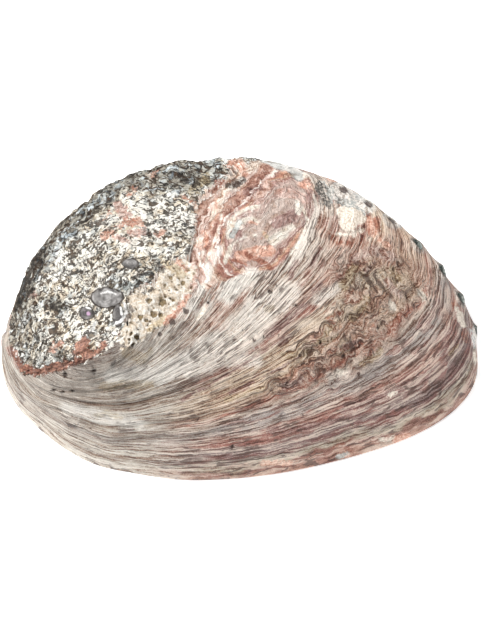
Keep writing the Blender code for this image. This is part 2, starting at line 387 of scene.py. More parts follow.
def pore_rims(points):
    """1 on the pale rim around each pore, closed ones too."""
    rim = np.zeros(len(points))
    for size in OPEN_PORES + CLOSED_PORES:
        distance = np.linalg.norm(points - pore_spot(size), axis=1)
        rim = np.maximum(rim, smooth_step(1.6 - np.abs(distance - PORE_RIM_MIDDLE) / 0.9))
    return rim


def growth_ledges(size):
    """Steps where the growth has halted."""
    height = np.zeros_like(size)
    for halt, ledge in HALTS:
        older = halt - size
        height += np.where(older >= 0, ledge * np.exp(-older / HALT_FADE), 0)
    return height


def growth_folds(size, direction):
    lip_direction = direction - turned(size)
    around = FOLD_STRETCH * np.cos(lip_direction)
    across = FOLD_STRETCH * np.sin(lip_direction)
    return lumps(np.stack([around, across, FOLD_COUNT * size], axis=-1))


# Places in the plane and in the photograph

def distance_to_edge(points, start, end):
    edge = end - start
    offset = points - start
    share = np.clip(offset @ edge / (edge @ edge), 0, 1)
    away = offset - share[:, None] * edge
    return np.hypot(away[:, 0], away[:, 1])


def distance_to_line(points, line):
    """Distance to a line of points, or to one point."""
    corners = np.array(line, float)
    if len(corners) == 1:
        return np.linalg.norm(points - corners[0], axis=1)
    return np.min([distance_to_edge(points, *ends) for ends in zip(corners, corners[1:])], axis=0)


def distance_inside(points, outline):
    """Distance to a closed outline in the plane, positive inside it."""
    points = points[:, :2]
    corners = np.array(outline, float)
    nearest = distance_to_line(points, outline + outline[:1])
    inside = np.zeros(len(points), bool)
    for start, end in zip(corners, np.roll(corners, -1, axis=0)):
        run, rise = end - start
        crosses = (start[1] > points[:, 1]) != (end[1] > points[:, 1])
        height = np.where(crosses, points[:, 1] - start[1], 0)
        inside ^= crosses & (points[:, 0] < start[0] + run * height / (rise if rise else 1))
    return np.where(inside, nearest, -nearest)


def seen_at(points):
    """Photograph's pixel of each point."""
    offset = points - np.array(VIEW_AIM)
    scale = FOCAL_PIXELS / (VIEW_DISTANCE - offset @ np.array(TOWARDS_CAMERA))
    x = PHOTO_WIDTH / 2 + offset[:, 0] * scale
    return np.stack([x, PHOTO_HEIGHT / 2 - (offset @ np.array(CAMERA_UP)) * scale], axis=1)


# The flecked, worn zone about the apex and the pitted zone beside it
FLECKED = [
    (-30, 100), (-30, 335), (8, 338), (15, 358), (23, 372), (36, 377), (46, 374), (66, 369), (86, 363),
    (98, 355), (107, 349), (118, 341), (121, 330), (127, 320), (131, 311), (127, 297), (134, 289),
    (153, 283), (160, 268), (172, 262), (186, 257), (192, 247), (194, 235), (196, 222), (196, 205),
    (200, 195), (208, 188), (222, 181), (230, 172), (240, 168), (262, 162), (280, 152), (280, 100),
]
PITTED = [
    (118, 341), (121, 330), (127, 320), (131, 311), (127, 297), (134, 289), (153, 283), (160, 268),
    (172, 262), (186, 257), (197, 262), (200, 275), (196, 290), (190, 300), (180, 312), (168, 322),
    (150, 334), (135, 345), (122, 352),
]
WRINKLED = [
    (318, 268), (345, 252), (380, 240), (415, 262), (428, 290), (412, 318), (395, 345), (370, 372),
    (340, 384), (300, 392), (262, 398), (250, 392), (280, 372), (300, 340), (330, 312), (340, 290),
]

# The lobe between the crust and the ridges, whose layers break off in nested bands
SCALLOPED = [
    (194, 262), (195, 205), (206, 188), (222, 180), (240, 174), (262, 164), (296, 172), (313, 188),
    (310, 212), (298, 240), (276, 270), (240, 276), (214, 284), (201, 292),
]
LOBE_MIDDLE = [(252, 244), (266, 228), (290, 206)]

# Where the crust turns level: pixels right of and above the corner, over the blend
LEVEL_CORNER = (105, 262)
LEVEL_BLEND = (40, -30)

# Marks: half width in pixels, then the points of the line through the middle of the mark
MARKS = {
    "brick": [
        (4.2, (12, 349), (22, 367), (36, 373), (50, 369), (66, 364), (84, 358), (97, 351), (104, 346)),
        (6, (80, 347), (85, 343)), (5, (77, 352), (90, 352)), (2, (222, 180), (214, 186)),
        (3, (246, 254), (262, 262), (270, 268)), (2, (232, 260), (246, 264)),
        (3, (326, 230), (336, 241), (352, 245), (366, 240), (371, 230)), (3, (374, 221), (377, 230)),
        (3, (350, 351), (362, 345), (372, 349)), (2.5, (328, 352), (340, 350)),
        (2, (333, 449), (341, 444), (352, 452)), (2.5, (455, 302), (453, 308)),
        (3, (464, 330), (465, 342)), (2, (346, 302), (352, 290)),
        (2.5, (335, 324), (330, 318), (342, 312)), (1.6, (268, 228), (262, 240)),
    ],
    "blush": [
        (9, (352, 296), (388, 300)), (8, (344, 330), (372, 318)),
        (12, (350, 248), (366, 262), (382, 246), (396, 264)), (8, (318, 222), (332, 240)),
        (6, (392, 232), (404, 250)), (7, (338, 262), (328, 282)), (6, (408, 262), (420, 280)),
        (8, (214, 286), (224, 310), (214, 324)), (6, (250, 276), (240, 300)), (5, (434, 290), (446, 320)),
        (7, (300, 372), (330, 358)), (6, (360, 352), (384, 336)),
    ],
    "cream": [
        (15, (190, 364), (226, 350), (250, 332), (266, 310)), (9, (160, 376), (196, 358)),
        (8, (226, 296), (252, 276)), (3, (330, 376), (346, 373)), (8, (112, 376), (150, 374), (178, 366)),
        (7, (206, 360), (256, 360)), (6, (318, 300), (336, 288)), (6, (66, 408), (140, 424)),
        (12, (204, 352), (234, 336), (262, 314), (288, 294)), (4, (240, 322), (250, 300)),
        (4, (318, 212), (304, 240), (290, 268)), (5, (218, 250), (208, 268), (200, 288), (192, 308)),
    ],
    "orange": [
        (4, (52, 349), (58, 344)), (5, (131, 222), (138, 222)), (3.5, (103, 235), (112, 231)),
        (3, (120, 226), (126, 221)), (3, (156, 234), (163, 230)), (1.6, (183, 197), (194, 203)),
        (4, (230, 168), (236, 165), (244, 173)), (6, (240, 257), (256, 252), (270, 252)),
        (3, (300, 185), (308, 188)), (5, (370, 222), (372, 232)), (2.5, (378, 240), (388, 248)),
        (3, (204, 232), (206, 240), (201, 246)), (3, (188, 296), (180, 308), (166, 322)),
        (3, (186, 268), (178, 262)), (2, (196, 245), (207, 240)), (2, (250, 222), (257, 224)),
        (3, (262, 462), (290, 463)), (2.2, (128, 196), (134, 190)), (2.2, (150, 178), (158, 174)),
        (1.8, (104, 218), (110, 212)), (2.5, (326, 184), (334, 189)), (4, (395, 440), (408, 436)),
        (1.5, (214, 196), (218, 214), (212, 226)),
    ],
    "rose": [
        (5, (356, 258), (374, 250), (390, 258)), (4, (386, 282), (400, 296)), (6, (119, 206), (125, 212)),
        (4, (132, 233), (143, 231)), (3, (116, 236), (126, 240)), (2.5, (28, 295), (34, 296)),
        (7, (214, 190), (207, 202), (203, 216), (203, 232)), (5, (216, 186), (222, 181)),
        (5, (199, 248), (194, 262)), (5, (230, 196), (228, 210), (222, 224)),
        (5, (246, 178), (262, 176), (276, 173)), (5, (281, 194), (296, 196), (306, 200)),
        (9, (236, 196), (252, 192), (262, 188)), (6, (212, 240), (208, 262), (200, 278)),
        (4, (324, 225), (336, 218), (334, 232)), (4, (200, 272), (194, 288)),
        (3.5, (186, 300), (174, 316)),
    ],
    "mauve": [
        (3.5, (240, 240), (237, 229), (244, 216)), (6, (277, 225), (292, 218)),
        (4, (290, 216), (300, 214)), (4.5, (247, 192), (258, 188)), (4, (234, 260), (238, 254)),
        (5, (268, 334), (276, 328), (290, 318)), (4, (290, 318), (304, 306)),
        (3.5, (280, 343), (289, 336)), (3, (308, 196), (312, 210), (304, 228)),
        (3, (296, 262), (290, 278)), (3, (311, 266), (320, 250)), (5, (438, 304), (432, 316), (424, 328)),
        (4, (345, 347), (360, 342)), (3, (314, 290), (322, 280)), (3.5, (282, 386), (300, 380)),
        (2.5, (375, 262), (366, 270)), (3, (450, 328), (442, 342)), (4, (270, 430), (330, 424)),
        (5, (345, 408), (390, 394), (430, 374)), (4, (440, 354), (458, 338)), (3, (300, 428), (360, 414)),
        (1.8, (290, 335), (262, 352), (240, 366), (210, 384), (182, 400)),
        (1.4, (300, 356), (262, 378), (230, 392)),
    ],
    "white": [
        (2.2, (228, 238), (229, 223), (236, 214), (247, 208), (258, 206)),
        (1.2, (230, 246), (244, 238), (256, 236)), (1.6, (240, 228), (243, 221), (252, 217), (258, 223)),
        (1.5, (302, 208), (308, 222), (300, 240), (290, 256)), (4.5, (272, 242), (284, 234)),
        (3, (284, 232), (292, 228)), (2.6, (297, 204), (298, 214)), (9, (347, 223), (357, 217)),
        (5, (340, 212), (352, 208)), (2.2, (338, 234), (352, 236), (362, 231)),
        (3, (236, 162), (241, 160)), (3, (390, 304), (394, 309)), (3.6, (420, 292), (424, 299)),
        (3, (338, 372), (344, 373)), (3.5, (230, 228), (244, 220)), (2.5, (225, 262), (230, 248)),
        (2, (474, 353), (476, 362)), (3, (382, 440), (392, 438)), (2.5, (388, 396), (396, 392)),
        (1.6, (222, 215), (218, 232), (206, 262)), (3, (78, 250), (68, 258)),
        (1.6, (148, 176), (152, 184)), (2.6, (94, 272), (86, 280)), (3, (456, 310), (462, 326)),
        (2.5, (206, 305), (198, 318)), (3, (96, 338), (104, 330)),
    ],
    "nacre": [
        (7, (100, 299), (114, 296)), (3.5, (84, 311), (88, 313)), (3, (112, 324), (118, 316), (122, 308)),
        (4, (128, 262), (138, 264)), (4, (128, 286), (136, 284)), (3, (142, 276), (150, 270)),
        (5, (320, 190), (328, 202)), (4, (264, 163), (280, 170), (296, 176)), (4, (284, 170), (300, 180)),
        (7, (334, 194), (350, 202), (364, 209)), (5, (358, 204), (368, 212)), (3, (204, 163), (222, 160)),
        (3, (336, 190), (346, 194)), (2.4, (338, 457), (348, 455)), (2.5, (470, 330), (474, 346)),
        (3, (384, 218), (396, 228)), (3, (240, 222), (232, 236)),
    ],
    "olive": [
        (5, (355, 268), (344, 286)), (3, (372, 262), (362, 276)), (3, (266, 311), (272, 308)),
        (4, (285, 356), (310, 352)), (6, (126, 352), (142, 358)), (3, (140, 362), (150, 352)),
        (4, (150, 330), (166, 318)), (2.4, (96, 414), (110, 412), (122, 418)),
        (2.5, (264, 234), (266, 238)), (4, (392, 270), (398, 280)), (4, (366, 300), (352, 318)),
        (3, (330, 330), (318, 342)), (4, (362, 364), (380, 352)), (5, (192, 190), (206, 178)),
        (3, (456, 344), (450, 352)), (5, (166, 262), (182, 272)), (5, (104, 386), (150, 384)),
        (3, (225, 400), (262, 388)),
    ],
    # painted highlights: white glints on the knobs of nacre
    "glint": [
        (1.3, (124, 303), (127, 312), (123, 320), (114, 324)), (0.5, (101, 294), (108, 292), (116, 294)),
        (1, (121, 308), (122, 315)), (0.8, (86, 307), (90, 308)), (1.2, (92, 330), (95, 322)),
        (0.9, (106, 327), (110, 322)),
    ],
    # painted shade: darker, cooler patches, most along the top and left edges of the crust
    "sooty": [
        (11, (150, 182), (190, 176), (212, 172)), (7, (62, 238), (90, 206), (120, 186), (150, 174)),
        (7, (18, 306), (30, 276), (50, 250)), (4, (180, 190), (196, 186)),
        (3, (112, 282), (132, 292), (152, 278)), (4, (96, 206), (112, 200)), (5, (44, 300), (62, 306)),
    ],
    # painted highlight: a violet glint on the small knob of nacre
    "violet": [
        (2, (88, 313)), (0.6, (84, 309)),
    ],
    "black": [
        (2.6, (105, 204), (110, 201)), (2, (150, 236), (155, 238)), (2.4, (183, 236), (188, 240)),
        (2, (190, 248), (188, 252)), (2.4, (160, 266), (164, 270)), (1.8, (133, 278), (144, 272)),
        (2.2, (132, 293), (144, 292)), (1.8, (148, 291), (153, 289)), (2.6, (180, 176), (186, 180)),
        (2.4, (192, 184), (196, 182)), (3.2, (228, 185), (236, 182), (244, 178)),
        (1.2, (317, 186), (325, 193)), (3.2, (317, 190), (324, 198), (329, 206)),
        (2.2, (334, 191), (341, 198)), (1, (320, 193), (329, 201)), (1.2, (323, 200), (332, 206)),
        (1, (329, 187), (334, 196)), (0.9, (315, 196), (321, 206)), (0.8, (336, 196), (340, 203)),
        (1.2, (312, 228), (306, 244)), (1, (344, 244), (330, 262)), (1.6, (270, 292)),
        (1.2, (292, 303), (297, 307)), (1.5, (254, 340)), (1.4, (264, 337)), (1.6, (208, 302)),
        (1.6, (383, 355)), (1.6, (343, 356)), (1.6, (425, 300), (429, 301)), (1.4, (58, 301), (64, 306)),
        (2, (52, 305), (60, 312)), (1.3, (94, 368), (94, 374)), (1.4, (66, 373), (65, 377)),
        (1.2, (54, 390)), (1.2, (63, 392)), (1.2, (72, 391)), (1.5, (232, 443), (234, 449)),
        (1.2, (188, 176), (190, 172)), (1.5, (172, 338), (176, 334)), (1.5, (115, 361), (112, 365)),
        (2, (78, 424), (70, 424)), (1.5, (84, 426)), (1, (382, 320), (372, 336)), (1.3, (320, 342)),
        (1.2, (300, 356)), (1.2, (270, 372)),
    ],
}
HIDDEN_PATCHES = {"brick": 0.46, "orange": 0.5, "rose": 0.34, "white": 0.52, "nacre": 0.5, "olive": 0.40}

# Pits: pixel, radius and depth in millimetres
PITS = [
    (270, 292, 0.59, 0.9), (295, 305, 0.52, 0.7), (254, 340, 0.52, 0.8), (264, 337, 0.45, 0.7),
    (208, 302, 0.52, 0.8), (383, 355, 0.52, 0.8), (343, 356, 0.59, 1.0), (427, 300, 0.52, 0.8),
    (428, 308, 0.65, 0.8), (320, 342, 0.52, 0.8), (54, 390, 0.6, 0.6), (63, 392, 0.6, 0.6),
    (72, 391, 0.6, 0.6), (65, 375, 0.8, 0.8), (94, 371, 0.6, 0.6), (141, 315, 1.0, 0.9),
    (147, 319, 0.9, 0.8), (154, 314, 1.2, 0.9), (161, 314, 0.9, 0.8), (163, 301, 1.6, 0.8),
    (149, 301, 1.2, 0.5), (173, 300, 0.8, 0.5), (172, 322, 1.2, 0.8), (160, 334, 1.0, 0.6),
    (137, 337, 1.1, 0.7), (186, 311, 1.1, 0.7), (192, 286, 0.8, 0.8), (171, 276, 0.9, 0.6),
    (183, 281, 1.0, 0.6), (177, 289, 0.8, 0.5), (165, 284, 0.8, 0.6), (188, 268, 0.8, 0.6),
    (232, 446, 0.8, 0.8), (236, 181, 1.6, 1.0),
]

# Smooth knobs of nacre: pixel, half length, half width and height in millimetres
KNOBS = [
    (107, 297, 6.0, 3.6, 1.1), (86, 312, 2.6, 2.4, 0.6), (118, 315, 2.0, 4.0, 0.5),
    (354, 218, 4.2, 4.0, 0.8), (130, 263, 3.0, 1.6, 0.4), (285, 223, 4.5, 2.2, 0.5),
    (251, 192, 4.5, 2.2, 0.5),
]


# Relief

def lay_flow(size, lip_share):
    """Growth coordinates in millimetres: a circle for the way along the lip, and the size."""
    turn = lip_share * 2 * math.pi
    around = LIP_TURN_RADIUS * np.stack([np.cos(turn), np.sin(turn)], axis=1)
    return np.concatenate([around, 100 * size[:, None]], axis=1)


class Surface:
    """Everything known about the points of the outside, before they are raised."""

    def __init__(self, size, direction, lip_share):
        self.size = size
        self.direction = direction
        self.lip = (direction - turned(size) + math.pi) % (2 * math.pi) - math.pi
        self.smooth = smooth_point(size, direction)
        self.normal = outward(size, direction)
        self.pixel = seen_at(self.smooth)
        self.facing = self.normal @ np.array(TOWARDS_CAMERA)
        self.seen = self.facing > EDGE_OF_VIEW
        self.in_view = smooth_step((self.facing + VIEW_BLEND) / VIEW_BLEND)
        self.well_seen = smooth_step((self.facing + 0.02) / VIEW_BLEND)
        self.crowd = crowding(size, direction)
        self.fade = smooth_step((self.smooth[:, 2] - RIM_FADE[0]) / RIM_FADE[1])
        self.place_zones()
        self.flow = lay_flow(size, lip_share)
        crumpling = 1.15 * perlin(self.smooth / 6.0, 21) + 0.55 * perlin(self.smooth / 2.2, 22)
        self.flow[:, 2] += self.crumple * crumpling

    def place_zones(self):
        """How far inside each zone of the photograph the points are, in pixels."""
        ragged = 1.6 * perlin(self.smooth / 2.6, 3) + 0.8 * perlin(self.smooth / 1.1, 4)
        pitted = self.seen_inside(PITTED, -9.0)
        self.flecked = np.clip(self.worn_inside(FLECKED) + ragged * 2, -OUT_OF_REACH, OUT_OF_REACH)
        self.pitted = np.clip(pitted + ragged * 2, -OUT_OF_REACH, OUT_OF_REACH)
        self.scalloped = self.seen_inside(SCALLOPED, -OUT_OF_REACH)
        self.lobe = distance_to_line(self.pixel, LOBE_MIDDLE)
        wrinkled = self.seen_inside(WRINKLED, -OUT_OF_REACH)
        self.crumple = smooth_step((wrinkled + 8 + 7 * perlin(self.smooth / 7, 6)) / 22)
        past = (self.pixel - LEVEL_CORNER) / LEVEL_BLEND
        self.level = smooth_step(past[:, 0]) * smooth_step(past[:, 1])

    def seen_inside(self, outline, unseen):
        return np.where(self.seen, distance_inside(self.pixel, outline), unseen)

    def worn_inside(self, outline):
        """Pixels inside the outline where the camera sees it, and by growth where it does not."""
        in_view = distance_inside(self.pixel, outline)
        hidden = np.minimum((HIDDEN_WORN_SIZE - self.size) * 90, (2 - self.smooth[:, 0]) * 0.7)
        hidden += 5 * perlin(self.smooth / 12, 5)
        return in_view * self.in_view + hidden * (1 - self.in_view)


def scattered_pits(surface):
    """Small pits: many in the pitted zone, some in the flecked one, few elsewhere."""
    away, number = nearest_seed(surface.smooth / PIT_SPACING, 11)
    in_pitted, in_flecked, elsewhere = PIT_SHARES
    chance = in_pitted * smooth_step(surface.pitted / 3) + in_flecked * smooth_step(surface.flecked / 3)
    pit = smooth_step((0.2 + 0.25 * number - away) / PIT_BLUR)
    depth = np.where(number < chance + elsewhere, pit * SMALL_PIT_DEPTH, 0)
    dent = 1 + 0.3 * perlin(surface.smooth / 0.9, 12)
    for x, y, pit_radius, pit_depth in PITS:
        distance = np.linalg.norm(surface.pixel - (x, y), axis=1) / PIXELS_PER_MILLIMETRE * dent
        hole = smooth_step((pit_radius * 1.3 - distance) / (pit_radius * 0.7))
        depth += np.where(surface.seen, hole * pit_depth, 0)
    for size in CLOSED_PORES:
        distance = np.linalg.norm(surface.smooth - pore_spot(size), axis=1)
        depth += CLOSED_PORE_DEPTH * smooth_step((CLOSED_PORE_RADIUS - distance) / 1.1)
    return depth


def knobs(surface):
    """Height of the smooth knobs. The surface keeps how near to one each point is."""
    height = np.zeros(len(surface.size))
    surface.knob = np.zeros(len(surface.size))
    for x, y, half_length, half_width, rise in KNOBS:
        offset = (surface.pixel - (x, y)) / PIXELS_PER_MILLIMETRE / (half_length, half_width)
        near = 1.2 - np.linalg.norm(offset, axis=1)
        height += np.where(surface.seen, rise * smooth_step(near / 0.6), 0)
        surface.knob = np.maximum(surface.knob, np.where(surface.seen, near, 0))
    return height


def wrinkles(surface):
    """Crumpled folds: rounded ridges along the growth lines with sharp creases between them."""
    ridge = np.abs(perlin(surface.flow / (13, 13, 2.4), 23))
    small_ridge = np.abs(perlin(surface.flow / (6, 6, 1.3), 24))
    # Where the creases are, for the painted shade along them.
    surface.crease = smooth_step((CREASE_WIDTH - ridge) / CREASE_WIDTH) * surface.crumple
    return RIDGE_HEIGHTS[0] * ridge + RIDGE_HEIGHTS[1] * small_ridge - 0.5


def terraces(surface):
    """Broken layers of the lobe: each band stands a step above the one outside it."""
    wobble = 3 * perlin(surface.smooth / 5, 45) + 1.5 * perlin(surface.smooth / 2.2, 46)
    step = (surface.lobe + wobble) / TERRACE_WIDTH
    tread = np.floor(step) + smooth_step((step - np.floor(step)) / 0.25)
    inside = smooth_step(surface.scalloped / 6 + 0.3)
    return inside * TERRACE_HEIGHT * (3 - np.clip(tread, 0, 6))


def grain(points, angle, lengths):
    """Coordinates along a grain at an angle to +X, counted in lengths of the grain."""
    along = points[:, 0] * math.cos(angle) + points[:, 1] * math.sin(angle)
    across = points[:, 1] * math.cos(angle) - points[:, 0] * math.sin(angle)
    return np.stack([along, across, points[:, 2]], axis=1) / np.array(lengths)


def flake_layer(grained, seed, opening):
    """Height of plates between the zero lines of a noise, and the gap along those lines."""
    value = perlin(grained, seed)
    away, number = nearest_seed(grained * 1.4, seed + 2)
    hole = np.where(number < 0.08, smooth_step((0.42 - away) / 0.3), 0)
    gap = smooth_step((opening - np.abs(value)) / 0.16 + 0.5)
    return smooth_step(value / 0.35 + 0.5) - 0.5, np.maximum(gap, hole)


def flakes_of(surface):
    """Height of the broken flakes of the crust, and how deep in a gap each point is."""
    points = surface.smooth
    curled = points + 1.4 * warp(points, 3.6, 71) + 0.5 * warp(points, 1.7, 74)
    opening = 0.04 + 0.16 * perlin(points / 3.0, 77) + 0.02 * (1 - surface.level)
    parts = []
    for seed, angle, lengths in zip(FLAKE_SEEDS, CRUST_GRAINS, FLAKE_LENGTHS):
        grained = grain(curled, angle, lengths)
        height, gap = flake_layer(grained, seed, opening)
        small_height, small_gap = flake_layer(grained * SMALL_FLAKES, seed + 1, opening - 0.08)
        parts.append((0.65 * height + 0.35 * small_height, np.maximum(gap, 0.7 * small_gap)))
    level = surface.level
    return [first * (1 - level) + second * level for first, second in zip(*parts)]


def froth_of(surface):
    """Height of the pitted zone, all rounded holes with thin walls between them."""
    points = surface.smooth + 0.5 * warp(surface.smooth, 2, 101)
    away, number = nearest_seed(points / 1.7, 104)
    away_small, number_small = nearest_seed(points / 0.95, 106)
    cluster = 0.34 + 0.5 * perlin(points / 7, 107)
    bowl = np.where(number < cluster, smooth_step((0.52 - away) / 0.4), 0)
    small = np.where(number_small < cluster - 0.1, smooth_step((0.45 - away_small) / 0.3), 0)
    return 0.5 * perlin(points / 2.2, 105), np.maximum(bowl, 0.7 * small)


def crust_height(surface, body):
    """Height of the crust: flakes and froth in place of the body's surface, sunk at the edge."""
    leaf, gap = flakes_of(surface)
    bubble, bowl = froth_of(surface)
    froth_share = smooth_step(surface.pitted / 4 + 0.5) * (1 - smooth_step(surface.flecked / 3))
    surface.leaf = leaf * (1 - froth_share) + bubble * froth_share
    surface.gap = np.maximum(gap * (1 - froth_share), bowl * froth_share)
    surface.gap = np.maximum(surface.gap, smooth_step(surface.pit / 0.5))
    calm = 1 - smooth_step(surface.knob / 0.3)
    calm *= 1 - 0.6 * smooth_step((0.6 - surface.facing) / 0.5)
    relief = (surface.leaf - GAP_DEPTH * surface.gap) * calm
    inside = np.maximum(surface.flecked, surface.pitted)
    dip = CRUST_DIP * (1 - smooth_step(inside / 4 + 0.6))
    return body + (relief + CRUST_LIFT - dip) * surface.fade


def raised(surface):
    """Height of the real surface above the smooth one."""
    worn = smooth_step(distance_inside(surface.smooth, WORN_EDGE + WORN_BACK) / 2)
    worn *= smooth_step((WORN_SIZE - surface.size) / 0.02)
    folds = FOLD_HEIGHT * growth_folds(surface.size, surface.direction)
    lines = LINE_HEIGHTS[0] * perlin(surface.flow / (16, 16, 3.4), 31)
    lines += LINE_HEIGHTS[1] * perlin(surface.flow / (9, 9, 1.7), 32)
    surface.rim = pore_rims(surface.smooth)
    grown = growth_ledges(surface.size) + folds + lines + surface.crumple * wrinkles(surface)
    rough = LUMP_HEIGHT * lumps(surface.smooth / LUMP_SIZE) - WORN_DEPTH
    chips = CHIP_HEIGHTS[0] * perlin(surface.smooth / 3.2, 41)
    chips += CHIP_HEIGHTS[1] * (0.5 - np.abs(perlin(surface.smooth / 2.0, 42)))
    height = grown * (1 - worn) * surface.crowd + worn * (rough + chips)
    surface.pit = scattered_pits(surface)
    height += pore_row(surface.smooth) - surface.pit + knobs(surface) + terraces(surface)
    return height * surface.fade


def levelled(height):
    """Height that never dips so deep that it would come through the wall."""
    room = DEEPEST_DIP - SHALLOW_DIP
    deeper = np.maximum(-SHALLOW_DIP - height, 0)
    return np.where(deeper > 0, -SHALLOW_DIP - room * np.tanh(deeper / room), height)


# Mesh

def lip_directions(count):
    """Directions of the columns, even along the lip."""
    dense = np.linspace(0, 2 * math.pi, 4000)
    lip = smooth_point(np.ones_like(dense), dense)
    walked = np.append(0, np.cumsum(np.linalg.norm(np.diff(lip, axis=0), axis=1)))
    return np.interp(np.arange(count) / count * walked[-1], walked, dense)


def outer_sizes():
    """Sizes of the rows of the outside, closer near the rim."""
    near_rim = [1.0, 0.9998, 0.999, 0.997, 0.9935]
    grown = np.arange(0.989, 0.5, -0.0049)
    older = np.arange(0.4985, 0.3, -0.0053)
    oldest = np.arange(0.2985, 0.03, -0.0065)
    return [*near_rim, *grown, *older, *oldest, 0.022, 0.014, 0.007]


def inner_sizes():
    return [1.0, 0.9985, 0.994, 0.986, 0.975, 0.96, 0.945, *np.arange(0.93, 0.06, -0.025), 0.03]


def rows_of(sizes, columns, thinning_sizes, turning=True):
    """Sizes, directions and places along the lip of all points of closed rows."""
    lip = lip_directions(columns)
    rows = []
    for size in sizes:
        count = columns >> sum(size < limit for limit in thinning_sizes)
        turn = turned(max(size, LAST_TURNING_SIZE)) if turning else 0
        rows.append((np.full(count, size), lip[::columns // count] + turn, np.arange(count) / count))
    counts = [len(row[0]) for row in rows]
    return *map(np.concatenate, zip(*rows)), counts


def sheet_faces(counts, start=0):
    """Triangles between closed rows, each of as many points as the one before or half, and a tip."""
    faces = []
    first = start
    for count, after in zip(counts, counts[1:]):
        second = first + count
        merge = count // after
        i = np.arange(0, count, merge)
        a = first + i
        b = a + 1
        c = first + (i + merge) % count
        low = second + i // merge
        high = second + (i // merge + 1) % after
        if merge == 1:
            corners = [(a, c, high), (a, high, low)]
        else:
            corners = [(a, b, low), (b, high, low), (b, c, high)]
        faces += [np.stack(corner, axis=1) for corner in corners]
        first = second
    i = np.arange(counts[-1])
    tip = np.full(counts[-1], first + counts[-1])
    faces.append(np.stack([first + i, first + (i + 1) % counts[-1], tip], axis=1))
    return np.concatenate(faces)


def rim_faces(inner_start):
    """Triangles from the lip of the outside to that of the hollow."""
    merge = COLUMNS // INNER_COLUMNS
    faces = []
    for i in range(INNER_COLUMNS):
        here = inner_start + i
        start = i * merge
        faces.append((here, inner_start + (i + 1) % INNER_COLUMNS, (start + merge) % COLUMNS))
        faces += [(here, (start + j + 1) % COLUMNS, start + j) for j in range(merge)]
    return np.array(faces)


def largest_part(faces, total):
    """Only the faces that hang together with most of the others."""
    part = np.arange(total)
    while True:
        lowest = part.copy()
        np.minimum.at(lowest, faces.ravel(), np.repeat(part[faces].min(axis=1), 3))
        lowest = lowest[lowest]
        if (lowest == part).all():
            break
        part = lowest
    of_face = part[faces[:, 0]]
    return faces[of_face == np.bincount(of_face).argmax()]


def hollow_point(size, direction):
    """The hollow: the smooth outside drawn in by the wall, with a flat inner lip."""
    centre = np.array(HOLLOW_CENTRE)
    shrink = 1 - WALL / np.array(HALF_SIZE)
    points = centre + (smooth_point(size, direction) - centre) * shrink
    off_middle = away_from(direction - turned(size), SHELF_MIDDLE)
    shelf = SHELF_WIDTH * smooth_step((SHELF_REACH - off_middle) / SHELF_BLEND)
    shelf *= np.exp(-((points[:, 2] / SHELF_HEIGHT) ** 2))
    inward = centre - points
    inward[:, 2] = 0
    inward /= np.linalg.norm(inward, axis=1, keepdims=True) + 0.001
    points = points + inward * shelf[:, None]
    ripple = 0.25 * perlin(points / 14, 51) + 0.10 * perlin(points / 5, 52)
    ripple *= smooth_step(points[:, 2] / 8)
    toward = unit(centre + np.array([0, 0, 10]) - points)
    return points + toward * ripple[:, None]


def within_box(points):
    """Keep the points inside the CAD model's box."""
    return np.clip(points, np.array(CAD_BOX[0]) / MILLIMETRE, np.array(CAD_BOX[1]) / MILLIMETRE)


def store(mesh, name, values):
    kind, key = ("FLOAT_VECTOR", "vector") if values.ndim == 2 else ("FLOAT", "value")
    attribute = mesh.attributes.new(name, kind, "POINT")
    attribute.data.foreach_set(key, np.ascontiguousarray(values, dtype=np.float32).ravel())


def mark_strength(surface, name):
    """How far inside the marks of one kind each point is, in pixels."""
    inside = np.full(len(surface.size), NO_MARK)
    for half_width, *line in MARKS[name]:
        inside = np.maximum(inside, half_width - distance_to_line(surface.pixel, line))
    hidden = np.full(len(surface.size), NO_MARK)
    if name in HIDDEN_PATCHES:
        seed = 60 + sorted(MARKS).index(name)
        hidden = 14 * (perlin(surface.smooth / 11, seed) - HIDDEN_PATCHES[name])
        hidden -= 5 * (1 - smooth_step(surface.flecked / 6))
    view = surface.well_seen if name == "sooty" else surface.in_view
    return np.clip(inside * view + hidden * (1 - view), NO_MARK, -NO_MARK)


def store_outside(mesh, surface, height, rest):
    """What the outside's material reads, with plain values for the points that are not outside."""

    def keep(name, values, other=0.0):
        store(mesh, name, np.append(values, np.full(rest, other)))

    front = smooth_step((surface.lip + math.radians(82)) / math.radians(42))
    keep("front", front * smooth_step((math.radians(165) - surface.lip) / 0.6))
    for name in ("crumple", "lobe", "pit", "crease", "rim"):
        keep(name, getattr(surface, name))
    keep("scalloped", np.clip(surface.scalloped, -OUT_OF_REACH, OUT_OF_REACH), -OUT_OF_REACH)
    keep("cavity", height - 0.6 * LUMP_HEIGHT * lumps(surface.smooth / LUMP_SIZE))
    for name in MARK_COLOURS:
        keep("mark_" + name, mark_strength(surface, name), NO_MARK)


def store_crust(mesh, surface):
    """What the crust's material reads."""
    for name in ("leaf", "gap", "flecked", "pitted", "knob", "level"):
        store(mesh, name, getattr(surface, name))
    # painted shade: the crust is darker and cooler where it turns away from the camera, less on its hidden
    # side
    turned_away_shade = smooth_step((0.75 - surface.facing) / 0.6)
    store(mesh, "grey", turned_away_shade * (0.25 + 0.75 * surface.well_seen))
    for name in MARKS:
        store(mesh, "mark_" + name, mark_strength(surface, name))


def lay_map(mesh, faces, share, up, tips):
    """Map of the faces, cut along one line: how far along the lip the points are, and how far up."""
    share = share[faces]
    wraps = np.ptp(share, axis=1) > 0.5
    share += np.where(wraps[:, None] & (share < 0.5), 1, 0)
    for column in range(3):
        middle = np.delete(share, column, axis=1).mean(axis=1)
        share[:, column] = np.where(np.isin(faces[:, column], tips), middle, share[:, column])
    layer = mesh.uv_layers.new(name="OFBake")
    spread = np.stack([MAP_START + MAP_WIDTH * share, up], axis=2)
    layer.data.foreach_set("uv", spread.astype(np.float32).ravel())


